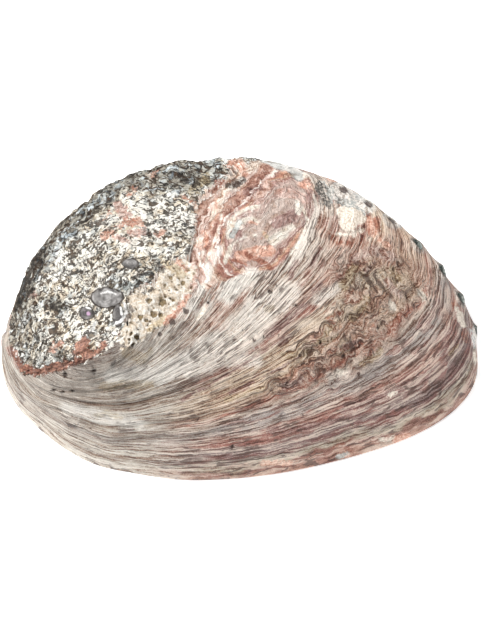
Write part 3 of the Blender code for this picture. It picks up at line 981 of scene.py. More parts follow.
def build_crust():
    """The worn crust about the apex, a fine sheet whose edge dips under the body's surface."""
    row_sizes = [*np.arange(CRUST_START, 0.02, -CRUST_STEP), 0.012]
    sizes, directions, shares, counts = rows_of(row_sizes, CRUST_COLUMNS, CRUST_THINNING_SIZES)
    surface = Surface(sizes, directions, shares)
    height = levelled(crust_height(surface, raised(surface)))
    points = within_box(surface.smooth + surface.normal * height[:, None])
    tip = len(points)
    points = np.concatenate([points, points[-counts[-1]:].mean(axis=0, keepdims=True)])
    faces = sheet_faces(counts)
    inside = np.append(np.maximum(surface.flecked, surface.pitted), OUT_OF_REACH)
    faces = largest_part(faces[(inside[faces] > -CRUST_MARGIN).any(axis=1)], len(points))
    used, numbered = np.unique(faces, return_inverse=True)

    mesh = bpy.data.meshes.new("worn_crust")
    mesh.from_pydata((points[used] * MILLIMETRE).tolist(), [], numbered.reshape(-1, 3).tolist())
    for key, value in list(vars(surface).items()):
        setattr(surface, key, np.concatenate([value, value[-1:]])[used])
    store_crust(mesh, surface)
    up = CRUST_MAP[0] + CRUST_MAP[1] * np.append(sizes, 0.0)[faces] / CRUST_START
    lay_map(mesh, faces, np.append(shares, 0.5), up, [tip])
    mesh.shade_smooth()
    return mesh


def build_shell():
    """The shell, closed: the outside, the hollow and the rim between them."""
    sizes, directions, shares, counts = rows_of(outer_sizes(), COLUMNS, THINNING_SIZES)
    surface = Surface(sizes, directions, shares)
    covered = np.maximum(surface.flecked, surface.pitted)
    height = levelled(raised(surface) - UNDER_CRUST * smooth_step(covered / 6))
    points = surface.smooth + surface.normal * height[:, None]
    rim = sizes == 1.0
    points[rim] = surface.smooth[rim] - surface.normal[rim] * (1, 1, 0) * RIM_CHAMFER
    tip_place = (np.array([0.001]), np.array([0.0]))
    tip = smooth_point(*tip_place)
    tip[0, 2] += height[-counts[-1]:].mean()
    inner = rows_of(inner_sizes(), INNER_COLUMNS, INNER_THINNING_SIZES, turning=False)
    in_sizes, in_directions, in_shares, in_counts = inner
    hollow = [hollow_point(in_sizes, in_directions), hollow_point(*tip_place)]
    every = within_box(np.concatenate([points, tip, *hollow]))

    outer_tip = len(points)
    inner_start = outer_tip + 1
    outside = sheet_faces(counts)
    faces = np.concatenate([outside, sheet_faces(in_counts, inner_start)[:, ::-1], rim_faces(inner_start)])
    kinds = (np.arange(len(faces)) >= len(outside)).astype(np.int32)
    mesh = bpy.data.meshes.new("abalone_shell")
    mesh.from_pydata((every * MILLIMETRE).tolist(), [], faces.tolist())
    mesh.polygons.foreach_set("material_index", kinds)
    mesh.update()

    growth = np.concatenate([sizes, [0.0], in_sizes, [0.0]])
    in_flow = lay_flow(in_sizes, in_shares)
    store(mesh, "flow", np.concatenate([surface.flow, [[0, 0, 0]], in_flow, [[0, 0, 0]]]))
    store(mesh, "growth", growth)
    store_outside(mesh, surface, height, len(every) - outer_tip)
    up_outside = OUTSIDE_MAP[0] + OUTSIDE_MAP[1] * growth[faces]
    up_inside = INSIDE_MAP[0] + INSIDE_MAP[1] * growth[faces]
    up_inside = np.where(faces < inner_start, RIM_MAP, up_inside)
    up = np.where(kinds[:, None] == 0, up_outside, up_inside)
    share = np.concatenate([shares, [0.5], in_shares, [0.5]])
    lay_map(mesh, faces, share, up, [outer_tip, len(every) - 1])
    mesh.shade_smooth()
    return mesh


def lay_pore_map(mesh):
    """Spread the pore walls over the free strip of the map, one pore beside the other."""
    wall = mesh.materials.find("pore_wall")
    layer = mesh.uv_layers["OFBake"]
    spots = np.array([pore_spot(size) for size in OPEN_PORES])
    for face in mesh.polygons:
        if face.material_index != wall:
            continue
        middle = np.array(face.center) / MILLIMETRE
        pore = int(np.argmin(np.linalg.norm(spots - middle, axis=1)))
        along, near, depth = pore_axes(OPEN_PORES[pore])
        face_turn = math.atan2((middle - spots[pore]) @ near, (middle - spots[pore]) @ along)
        for corner in face.loop_indices:
            point = np.array(mesh.vertices[mesh.loops[corner].vertex_index].co) / MILLIMETRE
            offset = point - spots[pore]
            past = math.atan2(offset @ near, offset @ along) - face_turn
            past = (past + math.pi) % (2 * math.pi) - math.pi
            around = pore + 0.5 + 0.9 * (face_turn + past) / (2 * math.pi)
            up = PORE_MAP[0] + PORE_MAP[1] * max(-1, min(1, offset @ depth / 5))
            layer.data[corner].uv = (MAP_START + MAP_WIDTH * around / len(OPEN_PORES), up)


def drill_pores(shell):
    """Cut the open pores through the wall, with walls of their own material."""
    cutters = []
    for size in OPEN_PORES:
        mesh = bmesh.new()
        radii = {"radius1": 0.5 * PORE_TAPER, "radius2": 0.5}
        bmesh.ops.create_cone(mesh, cap_ends=True, segments=36, depth=1, **radii)
        hole = Vector((PORE_LENGTH, PORE_WIDTH, CUTTER_DEPTH)) * MILLIMETRE
        bmesh.ops.scale(mesh, vec=hole, verts=mesh.verts)
        data = bpy.data.meshes.new("pore_cutter")
        mesh.to_mesh(data)
        mesh.free()
        data.materials.append(bpy.data.materials["pore_wall"])
        cutter = bpy.data.objects.new("pore_cutter", data)
        along, near, depth = pore_axes(size)
        depth = Vector(unit(depth + PORE_TILT * near))
        side = depth.cross(Vector(along)).normalized()
        placement = Matrix((side.cross(depth), side, depth)).transposed().to_4x4()
        placement.translation = Vector(pore_spot(size)) * MILLIMETRE
        cutter.matrix_world = placement
        bpy.context.collection.objects.link(cutter)
        cutters.append(cutter)
        cut = shell.modifiers.new("pore", "BOOLEAN")
        cut.operation = "DIFFERENCE"
        cut.solver = "EXACT"
        cut.material_mode = "TRANSFER"
        cut.object = cutter
    bpy.context.view_layer.update()
    evaluated = shell.evaluated_get(bpy.context.evaluated_depsgraph_get())
    mesh = bpy.data.meshes.new_from_object(evaluated)
    shell.modifiers.clear()
    shell.data = mesh
    lay_pore_map(mesh)
    for cutter in cutters:
        bpy.data.objects.remove(cutter)


# Materials

def colour(text):
    """Linear colour of an sRGB hex code."""
    values = [int(text[i:i + 2], 16) / 255 for i in (0, 2, 4)]
    linear = [v / 12.92 if v <= 0.04045 else ((v + 0.055) / 1.055) ** 2.4 for v in values]
    return (*linear, 1)


class Nodes:
    """Short calls for the shader nodes used here. A value is a number, a hex colour or a socket."""

    def __init__(self, name):
        self.material = bpy.data.materials.new(name)
        self.material.use_nodes = True
        self.tree = self.material.node_tree
        self.shader = self.tree.nodes["Principled BSDF"]

    def put(self, socket, value):
        if isinstance(value, bpy.types.NodeSocket):
            self.tree.links.new(value, socket)
        else:
            socket.default_value = colour(value) if isinstance(value, str) else value

    def make(self, kind, output, inputs, **settings):
        """Add a node with its settings and inputs, and return one of its outputs."""
        node = self.tree.nodes.new("ShaderNode" + kind)
        for name, value in settings.items():
            setattr(node, name, value)
        for key, value in inputs.items():
            self.put(node.inputs[key], value)
        return node.outputs[output]

    def finish(self, inputs):
        """Set the values of the surface itself."""
        for name, value in inputs.items():
            self.put(self.shader.inputs[name], value)
        return self.material

    def attribute(self, name, output="Fac"):
        return self.make("Attribute", output, {}, attribute_name=name)

    def mark(self, name):
        return self.attribute("mark_" + name)

    def place(self):
        """Position on the object in millimetres."""
        return self.stretch(self.make("TexCoord", "Object", {}), (1000, 1000, 1000))

    # vectors

    def stretch(self, vector, scale):
        return self.make("Mapping", "Vector", {"Vector": vector, "Scale": scale})

    def turned(self, vector, angle, lengths):
        """Coordinates along a grain at an angle, counted in lengths of the grain."""
        inputs = {"Vector": vector, "Scale": lengths, "Rotation": (0, 0, angle)}
        return self.make("Mapping", "Vector", inputs, vector_type="TEXTURE")

    def joined(self, x, y, z):
        return self.make("CombineXYZ", 0, {"X": x, "Y": y, "Z": z})

    def shift(self, vector, offset):
        return self.make("VectorMath", 0, {0: vector, 1: offset}, operation="ADD")

    def drifting(self, vector, scale, detail, reach):
        """A vector of noise about zero."""
        drift = self.shift(self.noise(vector, scale, detail, 0.5, kind="Color"), (-0.5, -0.5, -0.5))
        return self.make("VectorMath", 0, {0: drift, "Scale": reach}, operation="SCALE")

    # sums

    def math(self, kind, a, b=0.0):
        return self.make("Math", 0, {0: a, 1: b}, operation=kind)

    def plus(self, a, b):
        return self.math("ADD", a, b)

    def minus(self, a, b):
        return self.math("SUBTRACT", a, b)

    def times(self, a, b):
        return self.math("MULTIPLY", a, b)

    def most(self, *values):
        return functools.reduce(lambda a, b: self.math("MAXIMUM", a, b), values)

    def weigh(self, *parts):
        """Weighted sum of values."""
        return functools.reduce(self.plus, [self.times(value, weight) for value, weight in parts])

    def ease(self, value, low, high, to_low=0.0, to_high=1.0, kind="SMOOTHSTEP"):
        inputs = dict(zip(range(5), (value, low, high, to_low, to_high)))
        return self.make("MapRange", "Result", inputs, interpolation_type=kind)

    # textures

    def noise(self, vector, scale=1.0, detail=2.0, rough=0.55, warp=0.0, kind="Fac"):
        inputs = {"Vector": vector, "Scale": scale, "Detail": detail, "Roughness": rough}
        return self.make("TexNoise", kind, {**inputs, "Distortion": warp})

    def spots(self, vector, scale, detail, rough, low, high, *ends, **kind):
        """Noise eased from its low to its high value."""
        return self.ease(self.noise(vector, scale, detail, rough), low, high, *ends, **kind)

    def along(self, flow, around, across, detail, rough=0.5):
        """Noise drawn out along the growth lines."""
        return self.noise(self.stretch(flow, (around, around, across)), 1.0, detail, rough)

    def ragged(self, vector, wide, narrow):
        """Noise about zero at two scales, for edges and outlines."""
        coarse = self.noise(vector, 0.35, 3, 0.6)
        fine = self.noise(vector, 1.2, 3, 0.6)
        return self.plus(self.weigh((coarse, wide), (fine, narrow)), -(wide + narrow) / 2)

    def cells(self, vector, feature, output):
        return self.make("TexVoronoi", output, {"Vector": vector, "Scale": 1.0}, feature=feature)

    def chips(self, vector, grain_number, size):
        """Chips along one of the two grains of the crust: a tone for each, and how far its edge is."""
        lengths = [size * length for length in CHIP_LENGTHS[grain_number]]
        grained = self.turned(vector, CRUST_GRAINS[grain_number], lengths)
        tone = self.grey(self.cells(grained, "F1", "Color"))
        return tone, self.cells(grained, "DISTANCE_TO_EDGE", "Distance")

    def line(self, value, half_width, blur):
        """1 along the middle value of a noise, within a half width that may be a socket."""
        off = self.math("ABSOLUTE", self.minus(value, 0.5))
        return self.ease(self.minus(half_width, off), -blur, blur)

    # colours

    def grey(self, mixed):
        return self.make("SeparateColor", 0, {"Color": mixed})

    def mix(self, share, a, b, kind="MIX"):
        return self.make("Mix", 2, {0: share, 6: a, 7: b}, data_type="RGBA", blend_type=kind)

    def blend(self, share, a, b):
        """A value between two others."""
        return self.grey(self.mix(share, a, b))

    def ramp(self, value, stops):
        node = self.tree.nodes.new("ShaderNodeValToRGB")
        elements = node.color_ramp.elements
        while len(elements) < len(stops):
            elements.new(0.5)
        for element, (position, code) in zip(elements, stops):
            element.position = position
            element.color = colour(code)
        self.put(node.inputs["Fac"], value)
        return node.outputs["Color"]

    def bump(self, height, distance):
        """Height in millimetres."""
        inputs = {"Strength": 1.0, "Distance": distance * MILLIMETRE, "Height": height}
        return self.make("Bump", "Normal", inputs)

    def stained(self, base, ragged, light_part, blurs):
        """The marks over a colour, and how much of the surface each of them covers."""
        shares = {}
        for name, (deep, light, strength) in MARK_COLOURS.items():
            blur = blurs.get(name, 0.0)
            edge = self.plus(self.mark(name), ragged)
            shares[name] = self.ease(edge, -0.8 - blur, 1.2 + blur, 0.0, strength)
            base = self.mix(shares[name], base, self.mix(light_part, deep, light))
        return base, shares


# Colour by age of the growth line, on the front half and on the pale near side
FRONT_AGES = [
    (0.00, "d6c7bb"), (0.10, "cfbdb0"), (0.20, "e0d2c6"), (0.30, "dacabe"), (0.38, "e1d4c7"),
    (0.46, "d1bcae"), (0.50, "b79688"), (0.535, "936052"), (0.56, "e0ceba"), (0.62, "dac4ac"),
    (0.68, "d8bfa6"), (0.73, "ceb29d"), (0.755, "a86c5b"), (0.78, "cdb8a8"), (0.815, "b0a6a2"),
    (0.84, "b6a9a2"), (0.87, "b49184"), (0.895, "a46f62"), (0.915, "a18b84"), (0.935, "937e7a"),
    (0.952, "87564f"), (0.962, "a8998e"), (0.972, "c6baa8"), (0.980, "bca996"), (0.986, "9d6d60"),
    (1.00, "c69e8c"),
]
SIDE_AGES = [
    (0.00, "d3c8bc"), (0.30, "c8bcaf"), (0.50, "bdb0a2"), (0.54, "a18c7b"), (0.58, "cec3b6"),
    (0.70, "c4b8aa"), (0.74, "9d8a78"), (0.78, "c3b7aa"), (0.84, "b6aaa0"), (0.88, "c7bbae"),
    (0.93, "d0c6b9"), (0.95, "b2a090"), (0.97, "d3c9bc"), (1.00, "d7cdc0"),
]
FLECKS = [
    (0.00, "4a4035"), (0.12, "75695a"), (0.26, "a19380"), (0.42, "c5b6a0"), (0.58, "ddcfba"),
    (0.74, "efe6d4"), (0.90, "fcf8ee"),
]
FROTH = [
    (0.0, "a08c74"), (0.25, "c6b49e"), (0.5, "decfbc"), (0.72, "eee5d7"), (0.95, "fbf7ef"),
]
PEARL_HUES = [
    (0.30, "b7c9c4"), (0.37, "d9dcd6"), (0.43, "d8c3c9"), (0.48, "c9d8c6"), (0.52, "e3e2dc"),
    (0.57, "b9cfd6"), (0.62, "dcc6cf"), (0.70, "c4d6c9"),
]
OLDEST_BANDED = 0.5
LOBE_REACH = 50.0
LOBE_BANDS = [
    (0.00, "bfa99e"), (0.20, "c9b7ac"), (0.34, "b2948a"), (0.40, "c8b3a8"), (0.50, "ab8177"),
    (0.53, "b88f84"), (0.555, "e9d5c4"), (0.60, "d0a38c"), (0.66, "b07f74"), (0.74, "c79c8e"),
    (0.80, "b3877b"), (0.90, "d2b09e"), (1.00, "e8d2c0"),
]
MARK_COLOURS = {  # dark and light colour, and how far the mark covers what is under it
    "blush": ("a5705f", "dcb8a4", 0.65),
    "cream": ("d6c8ba", "fcf7ef", 0.88),
    "olive": ("a58e66", "d4be96", 0.55),
    "rose": ("b98b7e", "e8d2c6", 0.85),
    "mauve": ("7d5650", "b3928b", 0.85),
    "orange": ("bd7c64", "efcab5", 0.88),
    "brick": ("7f4637", "bd8066", 0.88),
    "white": ("c9bdab", "f6efe3", 0.90),
    "nacre": ("7f8684", "c6c9c5", 0.88),
    "black": ("1d1815", "4a4038", 0.85),
}
MARK_BLURS = {"cream": 3.0, "blush": 3.0}  # of the outside, soft edges
CALM_MARKS = {"white": 0.8, "nacre": 0.7, "orange": 0.5}  # and how far each hides the growth lines


def outside_noises(n):
    """What several parts of the outside's material share."""
    f = types.SimpleNamespace(place=n.place(), front=n.attribute("front"), crumple=n.attribute("crumple"))
    wander = n.minus(n.noise(f.place, 0.16, 3), 0.5)
    drift = n.times(wander, n.ease(f.crumple, 0, 1, 0.7, 3.0))  # growth lines wander, most in the folds
    f.flow = n.shift(n.attribute("flow", "Vector"), n.joined(0.0, 0.0, drift))
    f.middle = n.ease(n.along(f.flow, 0.025, 0.85, 3), 0.34, 0.66)
    f.fine = n.ease(n.along(f.flow, 0.035, 2.0, 2), 0.40, 0.60)
    f.finest = n.ease(n.along(f.flow, 0.10, 4.2, 2), 0.38, 0.62)
    f.mottle = n.spots(f.place, 0.9, 4, 0.65, 0.36, 0.64)
    f.grit = n.spots(f.place, 2.4, 2, 0.6, 0.36, 0.64)
    f.in_lobe = n.ease(n.plus(n.attribute("scalloped"), n.times(wander, 14.0)), -1.5, 1.5)
    small = n.spots(f.place, 1.1, 3, 0.65, 0.36, 0.64)
    soft = n.spots(f.place, 0.34, 3, 0.5, 0.32, 0.68)
    f.small = n.blend(n.ease(f.in_lobe, 0, 1, 0.0, 0.8), small, soft)
    f.ragged = n.times(n.ragged(f.place, 9.0, 6.0), n.ease(f.in_lobe, 0, 1, 1.0, 0.4))
    f.calm = n.most(*[n.ease(n.mark(name), -2.0, 1.5, 0.0, share) for name, share in CALM_MARKS.items()])
    f.uncalm = n.minus(1.0, f.calm)
    wobble = n.weigh((n.noise(f.place, 0.2, 3, 0.6), 18.0), (n.noise(f.place, 0.9, 3, 0.6), 5.0))
    f.lobe = n.plus(n.plus(n.attribute("lobe"), wobble), -11.5)
    contour = n.joined(n.times(f.lobe, 0.34), n.noise(f.place, 0.1, 2), 0.0)
    f.contour = n.spots(contour, 1, 2, 0.5, 0.36, 0.64)
    return f


def growth_lines(n, f):
    """Light and dark along the growth lines, and along the broken layers in the lobe."""
    lines = n.weigh((f.middle, 0.14), (f.fine, 0.29), (f.finest, 0.34), (f.grit, 0.16), (f.mottle, 0.10))
    lumpy = n.weigh((f.fine, 0.14), (f.finest, 0.14), (f.grit, 0.22), (f.mottle, 0.50))
    lines = n.blend(n.ease(f.crumple, 0, 1, 0.0, 0.35), lines, lumpy)
    lines = n.plus(lines, n.times(n.minus(lines, 0.46), n.ease(f.front, 0, 1, 0.0, 0.20)))
    layers = n.plus(n.times(n.minus(f.contour, 0.5), n.ease(f.lobe, 18, 32, 0.15, 0.5)), 0.29)
    layers = n.plus(layers, n.weigh((f.fine, 0.05), (f.small, 0.20), (f.grit, 0.07), (f.mottle, 0.07)))
    lines = n.blend(f.in_lobe, lines, layers)
    lines = n.plus(lines, n.ease(n.plus(n.mark("cream"), f.ragged), -3.0, 3.0, 0.0, 0.25))
    return n.blend(f.calm, lines, n.ease(f.small, 0, 1, 0.40, 0.72))


def cracks_of(n, f):
    """Thin dark cracks along the growth lines, wide in some places and shut in others."""
    width = n.spots(f.place, 0.11, 3, 0.6, 0.42, 0.64, -0.022, 0.040, kind="LINEAR")
    thin_width = n.spots(f.place, 0.16, 3, 0.6, 0.38, 0.62, -0.022, 0.034, kind="LINEAR")
    cracks = n.most(
        n.line(n.along(f.flow, 0.05, 1.25, 1), width, 0.014),
        n.line(n.along(f.flow, 0.03, 1.9, 1), thin_width, 0.014),
    )
    return n.times(n.times(cracks, n.ease(n.attribute("scalloped"), -2, 2, 1.0, 0.1)), f.uncalm)


def banded_colour(n, f, banded, cavity):
    """Colour by the age of the growth line, and in bands about the middle of the lobe."""
    base = n.mix(f.front, n.ramp(banded, SIDE_AGES), n.ramp(banded, FRONT_AGES))
    blush = n.ease(n.along(f.flow, 0.06, 0.6, 3, 0.6), 0.54, 0.66)
    base = n.mix(n.times(blush, n.times(f.front, 0.58)), base, "a4695d")
    base = n.mix(n.times(n.times(n.ease(cavity, 0.5, -0.5), f.crumple), 0.15), base, "a08a66")
    base = n.mix(n.times(n.times(n.ease(cavity, 0.6, 1.4), f.crumple), 0.6), base, "b2745f")
    return n.mix(f.in_lobe, base, n.ramp(n.times(f.lobe, 1 / LOBE_REACH), LOBE_BANDS))


def weathered():
    """The outside: growth bands, the lobe, stains and marks, with painted shade in creases, pits and
    hollows.
    """
    n = Nodes("weathered_outside")
    f = outside_noises(n)
    cavity = n.attribute("cavity")
    lines = growth_lines(n, f)
    cracks = cracks_of(n, f)
    broad = n.along(f.flow, 0.045, 0.30, 3, 0.6)
    age = n.plus(n.attribute("growth"), n.times(n.minus(broad, 0.5), 0.045))
    banded = n.ease(age, OLDEST_BANDED, 1.0, kind="LINEAR")
    base = banded_colour(n, f, banded, cavity)
    base, _ = n.stained(base, f.ragged, n.weigh((lines, 0.5), (f.small, 0.5)), MARK_BLURS)
    rim = n.ease(n.attribute("rim"), 0.2, 0.8, 0.0, 0.65)
    base = n.mix(rim, base, n.mix(f.small, "b5aca3", "f0ebe3"))

    # light and dark growth lines over the colours of age
    shading = n.ramp(lines, [(0.10, "74584c"), (0.22, "b29a8d"), (0.34, "dfd2c9"), (0.48, "ffffff")])
    grown = n.mix(1.0, base, shading, "MULTIPLY")
    pale = n.times(n.ease(lines, 0.50, 0.85), n.ease(banded, 0.08, 0.35, 0.80, 0.60))
    pale_colour = n.mix(n.times(n.ease(banded, 0.15, 0.55), f.front), "f8f2e8", "f3dfce")
    surface = n.mix(pale, grown, pale_colour)
    surface = n.mix(n.times(cracks, 0.75), surface, "563f36")
    # painted shade: dark brown in the creases between the wrinkle ridges
    surface = n.mix(n.ease(n.attribute("crease"), 0.2, 0.9, 0.0, 0.75), surface, "482f26")
    # painted shade: dark brown in the pits, darker the deeper they are
    surface = n.mix(n.ease(n.attribute("pit"), 0.12, 0.5, 0.0, 0.75), surface, "3a2019")
    # painted shade: darker in the deepest hollows of the outside
    surface = n.mix(n.ease(cavity, -0.3, -1.8, 0.0, 0.22), surface, "4c3d32")

    shiny = n.ease(n.mark("nacre"), -0.5, 1.5)
    height = n.weigh((f.middle, 0.40), (f.fine, 0.35), (f.finest, 0.15), (f.grit, 0.12), (f.mottle, 0.15))
    height = n.times(height, n.times(n.ease(f.in_lobe, 0, 1, 1.0, 0.25), f.uncalm))
    height = n.plus(height, n.times(n.times(f.contour, f.in_lobe), 0.5))
    height = n.plus(height, n.weigh((cracks, -0.25), (n.times(f.mottle, f.crumple), 0.3)))
    height = n.times(height, n.ease(shiny, 0, 1, 1.0, 0.1))
    return n.finish({
        "Base Color": surface,
        "Roughness": n.plus(n.times(f.mottle, 0.25), n.ease(shiny, 0, 1, 0.45, 0.12)),
        "Specular IOR Level": 0.4,
        "Normal": n.bump(height, 1.7),
    })


def crust_noises(n):
    """What several parts of the crust's material share: noises, and chips of two sizes."""
    f = types.SimpleNamespace(place=n.place(), leaf=n.attribute("leaf"), level=n.attribute("level"))
    f.small = n.spots(f.place, 1.3, 3, 0.65, 0.38, 0.62)
    f.grit = n.spots(f.place, 3.0, 2, 0.6, 0.38, 0.62)
    bent = n.shift(n.shift(f.place, n.drifting(f.place, 0.22, 1, 4.5)), n.drifting(f.place, 0.60, 0, 1.4))
    f.tone, f.edge = mixed_chips(n, f.level, bent, FLAKE_SIZE)
    f.chip_tone, f.chip_edge = mixed_chips(n, f.level, bent, CHIP_SIZE)
    f.froth = n.times(n.ease(n.attribute("pitted"), -1, 2), n.ease(n.attribute("flecked"), 2, -0.5))
    return f


def mixed_chips(n, level, vector, size):
    """Chips along the grain of the slope, and along that of the level part."""
    return [n.blend(level, *pair) for pair in zip(n.chips(vector, 0, size), n.chips(vector, 1, size))]


def flake_gaps(n, f):
    """Dark gaps between the chips, wide in some places and shut in others, and holes."""
    width = n.spots(f.place, 0.33, 3, 0.6, 0.36, 0.66, -0.06, 0.10, kind="LINEAR")
    chip_width = n.spots(f.place, 0.50, 3, 0.6, 0.36, 0.66, -0.07, 0.13, kind="LINEAR")
    return n.most(
        n.ease(n.minus(chip_width, f.chip_edge), -0.03, 0.03),
        n.ease(n.minus(width, f.edge), -0.02, 0.02),
        n.ease(f.chip_tone, 0.13, 0.10),
    )


def flake_colour(n, f):
    """Flakes from near white to grey brown, and painted shade: cool and dark at the edges of the crust."""
    sooty = n.ease(n.mark("sooty"), -6.0, 4.0)
    turned_away_shade = n.attribute("grey")
    broad = n.spots(f.place, 0.16, 3, 0.6, 0.38, 0.62)
    shade = n.weigh((f.leaf, 0.10), (f.tone, 0.38), (f.chip_tone, 0.40), (f.small, 0.08), (f.grit, 0.06))
    shade = n.plus(shade, n.times(broad, 0.22))
    # painted shade: darker along the top and left edges and where the crust turns away from the camera
    shade = n.plus(shade, n.weigh((turned_away_shade, -0.44), (f.level, 0.06), (sooty, -0.29)))
    crust = n.ramp(n.ease(shade, 0.00, 0.64, kind="LINEAR"), FLECKS)
    crust = n.mix(n.spots(f.place, 0.30, 3, 0.6, 0.52, 0.66, 0.0, 0.35), crust, "a38d76")
    crust = n.mix(n.spots(f.place, 0.22, 3, 0.6, 0.46, 0.34, 0.0, 0.6), crust, "8f9799")
    # painted shade: a cool tint over the same places
    return n.mix(n.most(sooty, turned_away_shade), crust, n.mix(1.0, crust, "dde8f4", "MULTIPLY"))


def with_knobs(n, f, surface, knob, smooth_part):
    """The smooth silver knobs over the crust, with painted shade at their foot and painted highlights."""
    arcs = n.math("SINE", n.weigh((knob, 20.0), (n.noise(f.place, 0.25, 2), 9.0)))
    silver = n.plus(n.times(arcs, 0.07), n.ease(n.noise(f.place, 0.22, 2), 0.35, 0.65, 0.2, 0.8))
    silver = n.ramp(silver, [(0.1, "454242"), (0.4, "666361"), (0.65, "7f7c7a"), (0.95, "a9a6a4")])
    # painted shade: a dark ring about the foot of each knob
    surface = n.mix(n.ease(knob, 0.02, 0.10), surface, "544c46")
    surface = n.mix(smooth_part, surface, silver)
    # painted highlights: white glints, and a violet one on the small knob
    for name, tint in (("glint", "fbfaf7"), ("violet", "b394ae")):
        surface = n.mix(n.ease(n.mark(name), -0.7, 0.7, 0.0, 0.92), surface, tint)
    return surface


def flecked_crust():
    """The worn crust: pale broken flakes with dark gaps, froth, stains and knobs of nacre."""
    n = Nodes("flecked_crust")
    f = crust_noises(n)
    clouds = n.ease(n.noise(f.place, 0.5, 3), 0.36, 0.64)
    froth = n.weigh((f.small, 0.4), (f.grit, 0.15), (f.leaf, 0.5), (clouds, 0.45))
    tan = n.ramp(n.plus(froth, 0.10), FROTH)
    surface = n.mix(f.froth, flake_colour(n, f), tan)
    light_part = n.ease(n.weigh((f.tone, 0.3), (f.chip_tone, 0.3), (f.small, 0.4)), 0.25, 0.75)
    surface, shares = n.stained(surface, n.ragged(f.place, 14.0, 9.0), light_part, {})

    opening = n.weigh((n.minus(f.small, 0.5), 0.35), (n.minus(f.grit, 0.5), 0.2))
    dark = n.most(
        n.ease(n.plus(n.attribute("gap"), opening), 0.62, 0.95),
        n.times(flake_gaps(n, f), n.ease(f.froth, 0, 1, 0.95, 0.1)),
    )
    for name in ("orange", "rose", "brick"):
        dark = n.times(dark, n.ease(shares[name], 0, 1, 1.0, 0.35))
    hole = n.mix(n.ease(n.noise(f.place, 0.4, 2), 0.4, 0.6), "1c1612", "4a3524")
    surface = n.mix(n.times(dark, 0.93), surface, n.mix(f.froth, hole, "8a7550"))
    knob = n.attribute("knob")
    smooth_part = n.ease(knob, 0.12, 0.24)
    height = n.weigh((f.tone, 0.4), (f.chip_tone, 0.45), (f.small, 0.2), (f.grit, 0.1), (dark, -0.8))
    return n.finish({
        "Base Color": with_knobs(n, f, surface, knob, smooth_part),
        "Roughness": n.plus(n.times(f.small, 0.3), n.ease(smooth_part, 0, 1, 0.42, 0.38)),
        "Specular IOR Level": n.ease(smooth_part, 0, 1, 0.4, 0.12),
        "Normal": n.bump(n.times(height, n.ease(smooth_part, 0, 1, 1.0, 0.05)), 1.0),
    })


def pearl():
    """The hollow: nacre in drifting pale green, rose and silver, with a red edge at the lip."""
    n = Nodes("pearl_inside")
    place = n.place()
    flow = n.attribute("flow", "Vector")
    drift = n.noise(place, 0.035, 4, 0.6, 0.8)
    bands = n.noise(n.stretch(flow, (0.02, 0.02, 0.10)), 1, 4, 0.6, 0.5)
    sheen = n.ramp(n.weigh((drift, 0.6), (bands, 0.4)), PEARL_HUES)
    fleck = n.noise(place, 0.5, 4, 0.65)
    sheen = n.mix(n.ease(fleck, 0.55, 0.7, 0.0, 0.5), sheen, "f1eeea")
    sheen = n.mix(n.ease(fleck, 0.42, 0.3, 0.0, 0.35), sheen, "8fa59a")
    edge = n.plus(n.attribute("growth"), n.times(n.minus(n.noise(place, 0.35, 3), 0.5), 0.012))
    red = n.ramp(n.along(flow, 0.2, 3, 3, 0.55), [(0.35, "8a4a3e"), (0.65, "c58f7d")])
    return n.finish({
        "Base Color": n.mix(n.ease(edge, 0.972, 0.982), sheen, red),
        "Roughness": n.plus(n.times(fleck, 0.22), 0.10),
        "Specular IOR Level": 0.7,
        "Coat Weight": 0.5,
        "Coat Roughness": 0.12,
        "Normal": n.bump(n.plus(n.along(flow, 0.05, 0.6, 3, 0.55), n.times(fleck, 0.3)), 0.25),
    })


def pore_wall():
    n = Nodes("pore_wall")
    shade = n.noise(n.place(), 1.2, 3)
    return n.finish({
        "Base Color": n.ramp(shade, [(0.35, "4f5a58"), (0.5, "8b918c"), (0.7, "c9cac3")]),
        "Roughness": n.ease(shade, 0.3, 0.7, 0.25, 0.5),
        "Normal": n.bump(shade, 0.3),
    })


def floor_material():
    n = Nodes("pale_floor")
    return n.finish({
        "Base Color": n.ramp(n.noise(n.place(), 0.02, 2), [(0.3, "fbfbfa"), (0.7, "ffffff")]),
        "Roughness": 0.9,
        "Specular IOR Level": 0.1,
        "Emission Color": "ffffff",
        "Emission Strength": 0.5,
    })


# Stage

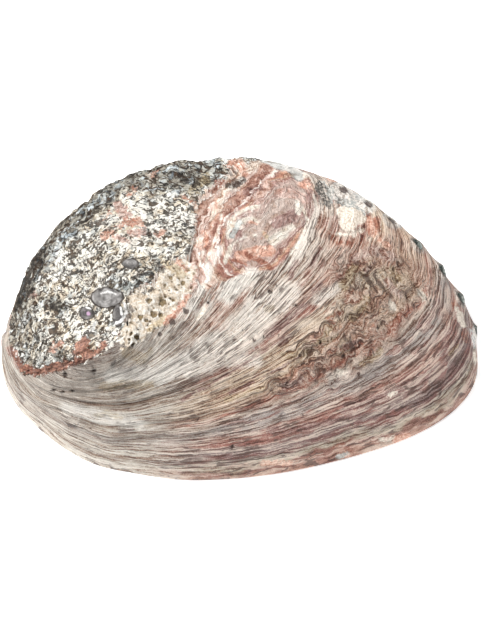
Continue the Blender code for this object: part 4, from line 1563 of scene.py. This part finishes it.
FLOOR_HALF = 3.0
LIGHT_PLACE = (-0.50, 0.05, 0.95)
LIGHT_WIDTH = 0.30
LIGHT_WATTS = 14
SKY_STRENGTH = 0.62


def show(name, data):
    thing = bpy.data.objects.new(name, data)
    bpy.context.collection.objects.link(thing)
    return thing


def make_floor():
    mesh = bpy.data.meshes.new("pale_floor")
    corners = [(x * FLOOR_HALF, y * FLOOR_HALF, 0) for x, y in ((-1, -1), (1, -1), (1, 1), (-1, 1))]
    mesh.from_pydata(corners, [], [(0, 1, 2, 3)])
    mesh.materials.append(floor_material())
    show("pale_floor", mesh)


def make_lights():
    world = bpy.data.worlds.new("soft_studio")
    world.use_nodes = True
    background = world.node_tree.nodes["Background"]
    background.inputs["Color"].default_value = (1, 1, 1, 1)
    background.inputs["Strength"].default_value = SKY_STRENGTH
    bpy.context.scene.world = world
    light = bpy.data.lights.new("key", "AREA")
    light.shape = "DISK"
    light.size = LIGHT_WIDTH
    light.energy = LIGHT_WATTS
    lamp = show("key", light)
    lamp.location = LIGHT_PLACE
    lamp.rotation_euler = (-Vector(LIGHT_PLACE)).to_track_quat("-Z", "Y").to_euler()


def make_camera():
    data = bpy.data.cameras.new("camera")
    data.sensor_width = SENSOR
    data.sensor_fit = "AUTO"
    data.lens = SENSOR * FOCAL_PIXELS / PHOTO_HEIGHT
    camera = show("camera", data)
    back = Vector(TOWARDS_CAMERA)
    camera.location = Vector(VIEW_AIM) * MILLIMETRE + back * VIEW_DISTANCE * MILLIMETRE
    camera.rotation_euler = (-back).to_track_quat("-Z", "Y").to_euler()
    bpy.context.scene.camera = camera


def main():
    bpy.context.scene.view_settings.view_transform = "Standard"
    outside, inside = weathered(), pearl()
    pore_wall()
    mesh = build_shell()
    mesh.materials.append(outside)
    mesh.materials.append(inside)
    shell = show("abalone_shell", mesh)
    drill_pores(shell)
    crust_mesh = build_crust()
    crust_mesh.materials.append(flecked_crust())
    crust = show("worn_crust", crust_mesh)
    for piece in (shell, crust):
        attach(piece, "root")
        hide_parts("shell")
    make_floor()
    make_lights()
    make_camera()


main()
